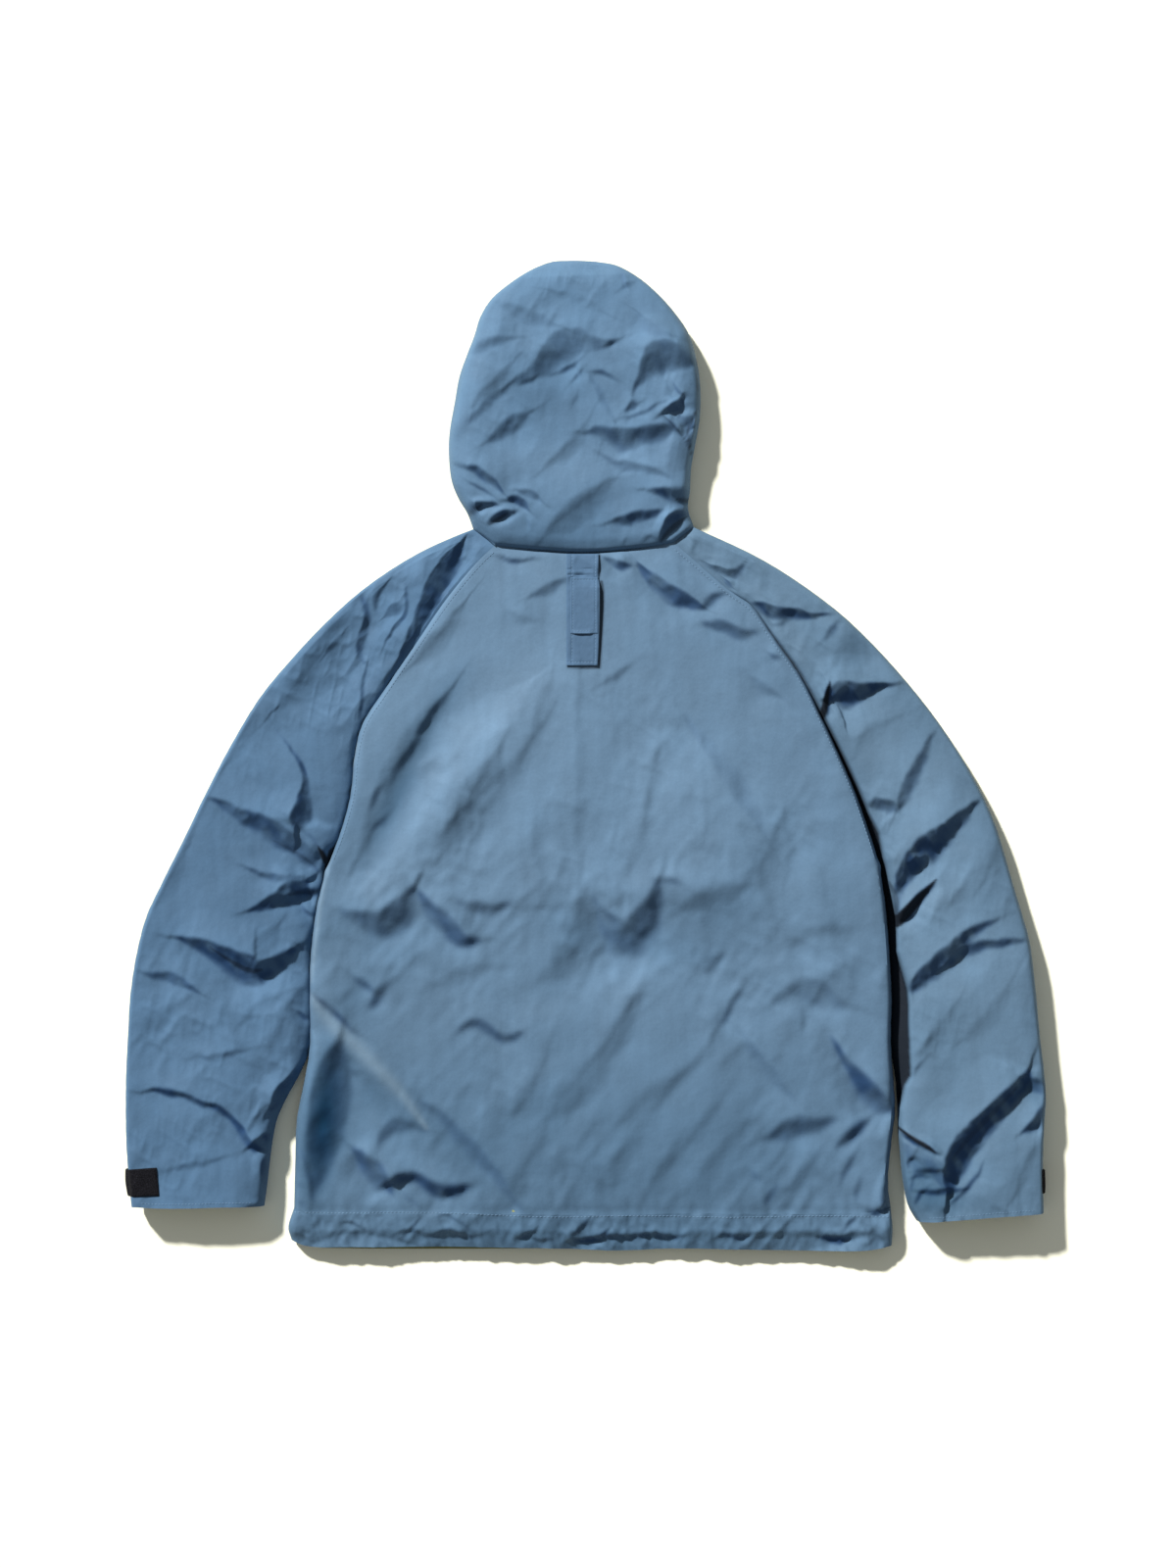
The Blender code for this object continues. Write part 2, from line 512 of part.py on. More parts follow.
def make_sleeve(side, cloth):
    """One raglan sleeve: a back half above and a front half below, sewn over the arm and under it."""
    word = "left" if side < 0 else "right"
    steps = RAGLAN_STEPS + UNDERARM_STEPS
    if side < 0:
        raglan, underarm, outer_rows = RAGLAN_LEFT, UNDERARM_LEFT, SLEEVE_OUTER_LEFT
        cuff_back, cuff_front, loft, folds = CUFF_BACK_LEFT, CUFF_FRONT_LEFT, SLEEVE_LEFT_LOFT, SLEEVE_LEFT_FOLDS
    else:
        raglan, underarm, outer_rows = RAGLAN_RIGHT, UNDERARM_RIGHT, SLEEVE_OUTER_RIGHT
        cuff_back, cuff_front, loft, folds = CUFF_BACK_RIGHT, CUFF_FRONT_RIGHT, SLEEVE_RIGHT_LOFT, SLEEVE_RIGHT_FOLDS
    outer = stations(outer_rows, steps)
    seam = chain(stations(raglan, RAGLAN_STEPS), stations(underarm, UNDERARM_STEPS))
    neck = stations((outer_rows[0], raglan[0]), SLEEVE_COLUMNS, CROWDING)
    cuff = stations(cuff_back, SLEEVE_COLUMNS, CROWDING)
    faces = upper_sheet(neck, cuff, outer, seam, loft, (NECK_ROLL, None, SLEEVE_ROLL, SLEEVE_ROLL), folds)
    panel(f"sleeve_{word}_back", faces, cloth)
    under_seam = chain(stations(front_raglan(raglan), RAGLAN_STEPS), stations(underarm, UNDERARM_STEPS))
    neck = stations((outer_rows[0], (raglan[0][0], raglan[0][1], FRONT_NECK[0][2])), SLEEVE_FRONT_COLUMNS)
    cuff = stations(cuff_front, SLEEVE_FRONT_COLUMNS)
    faces = lower_sheet(neck, cuff, outer, under_seam, (None, None, SLEEVE_UNDER_ROLL, SLEEVE_ROLL))
    panel(f"sleeve_{word}_front", faces, cloth)


def make_hood(cloth):
    """The hood: one panel above, and two side panels below it round the face opening, each with its binding."""
    left_end = stations((SLEEVE_OUTER_LEFT[0], RAGLAN_LEFT[0]), NECK_END_STEPS)
    right_end = stations((RAGLAN_RIGHT[0], SLEEVE_OUTER_RIGHT[0]), NECK_END_STEPS)
    neck = chain(left_end, stations(NECK_BACK, BACK_COLUMNS, CROWDING), right_end)
    crown = stations(HOOD_CROWN, len(neck) - 1, CROWDING)
    left, right = stations(HOOD_LEFT, HOOD_ROWS), stations(HOOD_RIGHT, HOOD_ROWS)
    rolls = (HOOD_ROLL, NECK_ROLL, HOOD_ROLL, HOOD_ROLL)
    faces = upper_sheet(crown, neck, left, right, HOOD_LOFT, rolls, HOOD_FOLDS)
    panel("hood_back", faces, cloth)
    for side, outline, face_edge, end in (
        (-1, HOOD_LEFT, FACE_LEFT, SLEEVE_OUTER_LEFT[0]), (1, HOOD_RIGHT, FACE_RIGHT, SLEEVE_OUTER_RIGHT[0]),
    ):
        word = "left" if side < 0 else "right"
        neckline = front_neck(side)
        bottom = chain(stations((end, neckline[0]), NECK_END_STEPS), stations(neckline, FRONT_COLUMNS))
        outer = stations([HOOD_CROWN[1], *outline], HOOD_SIDE_ROWS)
        inner = stations(face_edge, HOOD_SIDE_ROWS)
        top = stations((outer[0], inner[0]), len(bottom) - 1)
        faces = lower_sheet(top, bottom, outer, inner, (None, None, HOOD_SIDE_ROLL, None))
        panel(f"hood_side_{word}", faces, cloth, columns=slice(0, len(bottom) - 1))
        panel(f"hood_binding_{word}", faces, cloth, columns=slice(len(bottom) - 2, None))


def make_zip(tape):
    """The closed front zip: a flat tape with its row of teeth standing on it, and the slider at its top."""
    half, teeth = ZIP_HALF_WIDTH - SEAM_GAP, ZIP_TEETH_HALF_WIDTH
    foot = teeth + ZIP_TEETH_FLANK
    across = (-half, -foot, -teeth, teeth, foot, half)
    height = (CLOTH, CLOTH, ZIP_TEETH_HEIGHT, ZIP_TEETH_HEIGHT, CLOTH, CLOTH)
    ends = (ZIP_TOP, HEM_BOTTOM)
    lower = np.array([[(x, y, 0.0) for x in across] for y in ends])
    upper = np.array([[(x, y, z) for x, z in zip(across, height)] for y in ends])
    solid_between("front_zip", lower, upper, tape)


def make_slider(finish):
    """The zip's slider, narrower towards its lower end."""
    width, length, height = SLIDER_SIZE
    low_end = ZIP_TOP + SEAM_GAP
    lower = np.array(
        [
            [(x * share, y, SLIDER_LIFT) for x in (-width / 2, width / 2)]
            for y, share in ((low_end + length, 1), (low_end, SLIDER_TAPER))
        ]
    )
    upper = lower + np.array([0, 0, height])
    made = solid_between("zip_slider", lower, upper, finish)
    bevel = made.modifiers.new("Rounded", "BEVEL")
    bevel.width = SLIDER_BEVEL * MM
    bevel.segments = 2


# --- pieces made from the points of the panels that they lie on ----------------------------------------------


def surface_of(*names):
    """Finds the highest or lowest face of some panels over a point of the plan."""
    trees = []
    for name in names:
        mesh = bpy.data.objects[name].data
        points = [v.co.copy() for v in mesh.vertices]
        mesh.calc_loop_triangles()
        trees.append(BVHTree.FromPolygons(points, [tuple(t.vertices) for t in mesh.loop_triangles]))

    def height(x, y, downwards=True):
        start, way = (0.2, -1) if downwards else (-0.2, 1)
        hits = [t.ray_cast(Vector((x * MM, y * MM, start)), Vector((0, 0, way)))[0] for t in trees]
        found = [h.z / MM for h in hits if h is not None]
        if not found:
            return None
        return max(found) if downwards else min(found)

    return height


def make_flat_piece(name, place, height, columns, rows, finish, raise_by=None):
    """A strip laid on a panel, its underside at the panel's points moved out."""
    across = np.linspace(place["left"], place["right"], columns + 1)
    along = np.linspace(place["top"], place["bottom"], rows + 1)
    lower = np.array([[(x, y, height(x, y) + place["clear"]) for x in across] for y in along])
    if raise_by is not None:
        lower[..., 2] += raise_by(lower[..., 0], lower[..., 1])
    upper = lower + np.array([0, 0, place["thickness"]])
    return solid_between(name, lower, upper, finish)


def make_tab(cloth):
    """The strap that hangs from the neck seam over the back, and the patch stitched on it."""
    def lifted(x, y):
        down = np.clip((TAB_LIFT["from"] - y) / TAB_LIFT["reach"], 0, 1)
        across = (x - TAB["left"]) / (TAB["right"] - TAB["left"])
        return TAB_LIFT["height"] * down * (TAB_LIFT["left_share"] + (1 - TAB_LIFT["left_share"]) * across)

    make_flat_piece("neck_tab", TAB, surface_of("back_panel"), 6, 16, cloth, lifted)
    make_flat_piece("tab_patch", PATCH, surface_of("neck_tab"), 5, 9, cloth)


def make_cuff_strap(side, finish):
    """A strap of hook-and-loop tape round the over-arm seam, a strip down its length and round the edge."""
    word, place = ("left", STRAP_LEFT) if side < 0 else ("right", STRAP_RIGHT)
    over, under = surface_of(f"sleeve_{word}_back"), surface_of(f"sleeve_{word}_front")
    line = dense_line(SLEEVE_OUTER_LEFT if side < 0 else SLEEVE_OUTER_RIGHT)
    sections, start = [], STRAP_ROUND_FROM
    for y in np.linspace(place["high"], place["low"], 6):
        edge_x = np.interp(y, line[::-1, 1], line[::-1, 0])
        inner, outer = [], []
        for inward in start + (place["over"] - start) * np.linspace(1, 0, place["over_steps"]) ** 1.7:
            z = over(edge_x - side * inward, y) + STRAP_CLEAR
            inner.append((edge_x - side * inward, y, z))
            outer.append((edge_x - side * inward, y, z + WEBBING))
        rim_top, rim_low = inner[-1][2], under(edge_x - side * start, y, False) - STRAP_CLEAR
        for turn in (math.radians(a) for a in (60, 30, 0, -30, -60)):
            reach = STRAP_BULGE * math.cos(turn)
            middle, half = (rim_top + rim_low) / 2, (rim_top - rim_low) / 2
            z = middle + half * math.sin(turn)
            inner.append((edge_x + side * reach, y, z))
            outer.append((edge_x + side * (reach + WEBBING * math.cos(turn)), y, z + WEBBING * math.sin(turn)))
        for inward in start + (place["under"] - start) * np.linspace(0, 1, 6) ** 1.5:
            z = max(under(edge_x - side * inward, y, False) - STRAP_CLEAR, WEBBING + 0.05)
            inner.append((edge_x - side * inward, y, z))
            outer.append((edge_x - side * inward, y, z - WEBBING))
        sections.append((inner, outer))
    lower = np.array([s[0] for s in sections])
    upper = np.array([s[1] for s in sections])
    solid_between(f"cuff_strap_{word}", lower, upper, finish)


def centre_on_origin():
    """Moves everything so that the middle of the whole outline's box is the origin."""
    points = [v.co for item in bpy.data.objects for v in item.data.vertices]
    middle = [(min(p[k] for p in points) + max(p[k] for p in points)) / 2 for k in (0, 1)]
    for item in bpy.data.objects:
        item.data.transform(Matrix.Translation((-middle[0], -middle[1], 0)))


def main():
    clear_scene()
    cloth = material("shell_cloth", SHELL_BLUE, 0.6)
    black = material("hook_and_loop", STRAP_BLACK, 0.95)
    tape = material("zip_tape", ZIP_BLUE, 0.5)
    make_back(cloth)
    make_hood(cloth)
    for side in (-1, 1):
        make_front(side, cloth)
        make_sleeve(side, cloth)
    make_zip(tape)
    make_slider(tape)
    make_tab(cloth)
    for side in (-1, 1):
        make_cuff_strap(side, black)
    centre_on_origin()


main()
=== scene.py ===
"""The look of the hooded raglan jacket: cloth shells, folds, stitching, finishes, light and camera.

Frame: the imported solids' own, in metres, +Z up from the surface and +Y from the hem to the hood.
The tables and the arithmetic are in millimetres. Edges, lofts and places of pieces are the solids' own.
Fold, pit and tone tables are in the photo's pixels, 1 mm each, right and down from its top left corner.
"""

import math

import bpy
import numpy as np
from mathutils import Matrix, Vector
from mathutils.bvhtree import BVHTree


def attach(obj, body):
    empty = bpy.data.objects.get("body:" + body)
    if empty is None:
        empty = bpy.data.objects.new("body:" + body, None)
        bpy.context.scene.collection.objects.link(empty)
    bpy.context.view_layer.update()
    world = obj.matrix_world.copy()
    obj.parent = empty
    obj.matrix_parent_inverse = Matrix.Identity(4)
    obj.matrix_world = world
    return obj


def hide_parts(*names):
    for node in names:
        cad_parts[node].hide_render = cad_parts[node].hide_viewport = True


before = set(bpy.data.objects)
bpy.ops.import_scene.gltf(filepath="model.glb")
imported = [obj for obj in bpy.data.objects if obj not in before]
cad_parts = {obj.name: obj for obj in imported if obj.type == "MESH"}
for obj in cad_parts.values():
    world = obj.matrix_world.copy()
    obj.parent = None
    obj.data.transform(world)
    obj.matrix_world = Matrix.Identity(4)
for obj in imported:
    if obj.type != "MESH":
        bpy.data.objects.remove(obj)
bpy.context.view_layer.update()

MM = 0.001

# Middle of the fold tables' field, and where the solids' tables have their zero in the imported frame
FIELD_CENTRE = (598.0, 771.0)
FRAME_SHIFT = (0.669, 0.145)

# Sizes that the solids have too
SEAM_GAP = 0.34
ZIP_HALF_WIDTH = 13.0
ZIP_TOP = 131.0
HEM_BOTTOM = -503.0
HEM_LINE = -462.0

# Thickness of the cloth and of the cuff straps, and the gap between a strap and the cloth
CLOTH = 0.8
STRAP_THICK = 1.5
STRAP_GAP = 0.3

# The upper sheets' outer and inner faces stay this far above the surface, and a seam on it this far.
# The lower sheets rise towards their edges over LOWER_ROLL, and the upper ones clear them by more.
LOWEST = 3.2
LOWEST_INSIDE = 2.2
ON_SURFACE = 1.7
LOWER_ROLL = 40
LOWER_MARGIN = 3

# How far the sleeve's seam lies under the body's edge, where along it that ends, and over what length
TUCKED = 3.6
TUCK_END = -330.0
TUCK_FADE = 24.0

# A ditch beside a seam: its depth and the width of its bank. Folds fade out this close to an edge.
DITCH_DEPTH = 3.5
DITCH_BANK = 1.5
CALM_EDGE = 7.0

# The deepest that a fold can fall, and its foot's width against its crest's
DEEPEST = 11.0
FOOT = 1.5

# Steps of the sheets along their edges, and columns across them. A body's three are raglan, side, hem;
# a hood side's are along, across and its binding's. HOOD_ENDS: the neck's steps beside a sleeve.
BACK_STEPS = (159, 123, 24)
BACK_COLUMNS = 264
HEM_COLUMNS = 528
SLEEVE_STEPS = 480
SLEEVE_COLUMNS = 132
HOOD_STEPS = 222
HOOD_COLUMNS = 198
HOOD_ENDS = 6
HOOD_SIDE_STEPS = (84, 24, 3)
LOWER_ROWS = 120
LOWER_COLUMNS = 45
FRONT_STEPS = (60, 54, 9)
INNER_EVERY = 3

# Where the body's side seam and hem start, as shares of its length, and the sleeve's underarm seam
BODY_MARKS = (0, 15 / 31, 28 / 31, 1)
UNDERARM_FROM = 15 / 29

# The roll of a sleeve's end at the neck: share of the rise at the very edge, its reach, the other's
NECK_ROLL = (0.3, 3, 14)

# Layers of noise. Columns: height, size across, size along, seed past the sheet's own, turn in degrees.
WARP_ACROSS = ((1.7, 19, 15, 301, 25), (0.7, 8, 6, 302, -15))
WARP_ALONG = ((1.7, 16, 20, 303, -30), (0.7, 6, 8, 304, 10))
SWELLS = ((1.9, 95, 120, 0, 20), (1.0, 42, 55, 1, -25))
STREAKS = ((0.16, 7, 60, 6, 6), (0.05, 4, 14, 7, -8))
HEM_RIPPLES = ((1.0, 7, 26, 71, 24), (0.9, 12, 22, 72, -28), (0.5, 4, 9, 73, 20))
HEM_RAYS = ((1.1, 7, 34, 76, 16), (0.5, 4, 12, 77, -10))
TAB_CRINKLES = ((0.25, 9, 14, 201, 10), (0.12, 4, 6, 202, -20))
PATCH_CRINKLES = ((0.14, 8, 12, 211, 10), (0.07, 3, 4, 212, -20))

# The cloth's small creases. Columns: size, height, turn.
CREASES = ((34, 0.95, 35), (24, 0.75, -30), (15, 0.56, 60), (9, 0.32, -10))

# Rings of a stitch. Columns: share of its length, share of the thread's half thickness, rise in that.
STITCH_RINGS = ((0, 0.3, -0.6), (0.15, 0.9, 0.3), (0.5, 1, 0.6), (0.85, 0.9, 0.3), (1, 0.3, -0.6))
STITCH_SIDES = 6

# Edges. Columns: across from the centre line, along from the middle of the length, height.
NECK_BACK = (
    (-93, 214, 17), (-76, 212, 16), (-43, 209, 15), (-2, 207, 15), (43, 210, 15), (68, 213, 16),
    (89, 217, 17),
)
RAGLAN_LEFT = (
    (-93, 214, 17), (-109, 199, 18), (-141, 161, 19), (-174, 113, 19), (-204, 69, 18),
    (-228, 31, 17), (-236, -2, 15), (-240, -40, 13), (-251, -80, 10), (-266, -118, 7),
)
RAGLAN_RIGHT = (
    (89, 217, 17), (123, 188, 18), (148, 167, 18), (169, 152, 17), (194, 117, 14), (219, 81, 11),
    (241, 38, 9), (273, -33, 7), (290, -80, 7), (300, -112, 7),
)
SIDE_LEFT = (
    (-266, -118, 7), (-275, -156, 7), (-281, -205, 8), (-282, -250, 8), (-282, -300, 9),
    (-288, -334, 9), (-295, -372, 9), (-297, -420, 9), (-298, -461, 9),
)
SIDE_RIGHT = (
    (300, -112, 7), (306, -155, 7), (310, -205, 8), (312, -250, 8), (311, -290, 9), (314, -335, 10),
    (315, -362, 10), (310, -408, 10), (308, -438, 9), (311, -461, 9),
)
HEM_END_LEFT = ((-298, -461, 9), (-304, -482, 8), (-301, -494, 7))
HEM_END_RIGHT = ((311, -461, 9), (313, -484, 9), (312, -500, 9))
HEM_EDGE_BACK = (
    (-301, -494, 7), (-286, -500, 12), (-240, -501, 18), (-190, -501, 15), (-135, -501, 10),
    (-80, -502, 11), (-20, -503, 13), (30, -505, 13), (90, -503, 11), (160, -504, 11),
    (225, -505, 13), (275, -505, 19), (298, -503, 17), (312, -500, 9),
)
HEM_EDGE_FRONT = ((-301, -494, 7), (-280, -502, 4), (-240, -504, 1.7), (0, -504, 1.7))
FRONT_NECK = ((-93, 214, 4), (-80, 184, 1.9), (-52, 156, 1.7), (-13, 144, 1.7))
SLEEVE_OUTER_LEFT = (
    (-115, 231, 11), (-133, 224, 11), (-166, 209, 11), (-200, 189, 11), (-233, 165, 11),
    (-266, 135, 11), (-299, 100, 11), (-332, 60, 11), (-362, 11, 11), (-389, -41, 12),
    (-410, -85, 13), (-432, -129, 13), (-448, -164, 13), (-457, -197, 14), (-464, -240, 14),
    (-467, -285, 15), (-469, -339, 16), (-468, -399, 18), (-463, -459, 19),
)
SLEEVE_OUTER_RIGHT = (
    (110, 233, 11), (172, 204, 11), (212, 180, 11), (258, 146, 11), (291, 115, 11), (323, 80, 11),
    (349, 48, 11), (369, 20, 12), (388, -10, 12), (404, -40, 13), (417, -70, 14), (427, -102, 15),
    (436, -134, 16), (445, -164, 17), (452, -191, 18), (458, -240, 19), (462, -285, 20),
    (466, -320, 21), (468, -347, 21), (466, -385, 21), (465, -425, 21), (466, -465, 21),
)
UNDERARM_LEFT = (
    (-266, -118, 7), (-277.5, -154, 7), (-283.5, -205, 7), (-284.5, -250, 8), (-284.8, -296, 9),
    (-292, -322, 10), (-306, -350, 11), (-315, -370, 12), (-319, -388, 13), (-322, -410, 14),
    (-325, -436, 14), (-328, -459, 15),
)
UNDERARM_RIGHT = (
    (300, -112, 7), (308.5, -155, 7), (312.5, -205, 7), (314.5, -250, 8), (314, -290, 9),
    (316.5, -335, 9), (318, -364, 10), (318.5, -385, 11), (320, -402, 12), (323, -432, 13),
    (329, -460, 13), (337, -474, 13),
)
CUFF_BACK_LEFT = (
    (-463, -459, 19), (-456, -459, 27), (-438, -460, 33), (-410, -460, 35), (-372, -459, 34),
    (-346, -459, 29), (-333, -459, 22), (-328, -459, 15),
)
CUFF_FRONT_LEFT = (
    (-463, -459, 19), (-457, -459, 11), (-440, -459, 3.6), (-410, -459, 1.7), (-365, -459, 1.9),
    (-340, -459, 7), (-328, -459, 15),
)
CUFF_BACK_RIGHT = (
    (466, -465, 21), (459, -466, 29), (443, -467, 35), (415, -469, 37), (380, -472, 33),
    (353, -474, 26), (341, -474, 19), (337, -474, 13),
)
CUFF_FRONT_RIGHT = (
    (466, -465, 21), (459, -466, 11), (441, -468, 3.6), (410, -469, 1.7), (368, -472, 1.9),
    (345, -474, 7), (337, -474, 13),
)
HOOD_CROWN = ((-34, 504, 12), (-12, 505, 12), (10, 504, 12))
HOOD_LEFT = (
    (-34, 504, 12), (-53, 497, 12), (-76, 483, 12), (-97, 465, 12), (-108, 447, 12),
    (-114, 428, 12), (-121, 410, 12), (-129, 387, 12), (-134, 360, 12), (-139, 331, 12),
    (-140, 310, 12), (-137, 280, 12), (-130, 262, 12), (-121, 247, 12), (-115, 231, 11),
)
HOOD_RIGHT = (
    (10, 504, 12), (31, 500, 12), (53, 488, 12), (72, 472, 13), (90, 452, 14), (104, 431, 15),
    (112, 406, 16), (116, 380, 16), (116, 345, 16), (111, 315, 15), (107, 292, 14), (106, 270, 13),
    (104, 252, 12), (110, 233, 11),
)
FACE_LEFT = (
    (-12, 462, 1.7), (-42, 446, 1.7), (-62, 392, 1.7), (-66, 320, 1.7), (-54, 240, 1.7),
    (-30, 180, 1.7), (-13, 144, 1.7),
)
FACE_RIGHT = (
    (-12, 462, 1.7), (20, 446, 1.7), (42, 392, 1.7), (47, 320, 1.7), (38, 240, 1.7), (24, 180, 1.7),
    (13, 144, 1.7),
)

# Loft of each upper sheet. Columns: share of the way from its top edge to its bottom edge, height.
BACK_LOFT = (
    (0, 17), (0.08, 21), (0.2, 25), (0.38, 31), (0.5, 32), (0.7, 28), (0.87, 23.5), (0.95, 20),
    (1, 13),
)
SLEEVE_LEFT_LOFT = ((0, 14), (0.1, 20), (0.3, 24), (0.6, 27), (1, 33))
SLEEVE_RIGHT_LOFT = ((0, 14), (0.1, 19), (0.3, 24), (0.6, 29), (1, 35))
HOOD_LOFT = ((0, 15), (0.12, 30), (0.4, 37), (0.7, 33), (0.92, 27), (1, 24))

# Width of the ditch beside each sleeve's underarm seam. Columns: along, width.
DITCH_RIGHT = (
    (130, 0), (70, 0.5), (30, 1.5), (-20, 3), (-60, 4), (-80, 7), (-105, 4), (-130, 5), (-165, 9),
    (-200, 7), (-240, 16), (-290, 18), (-326, 14), (-336, 7), (-360, 0),
)
DITCH_LEFT = ((-90, 0), (-97, 4), (-112, 3), (-119, 0))

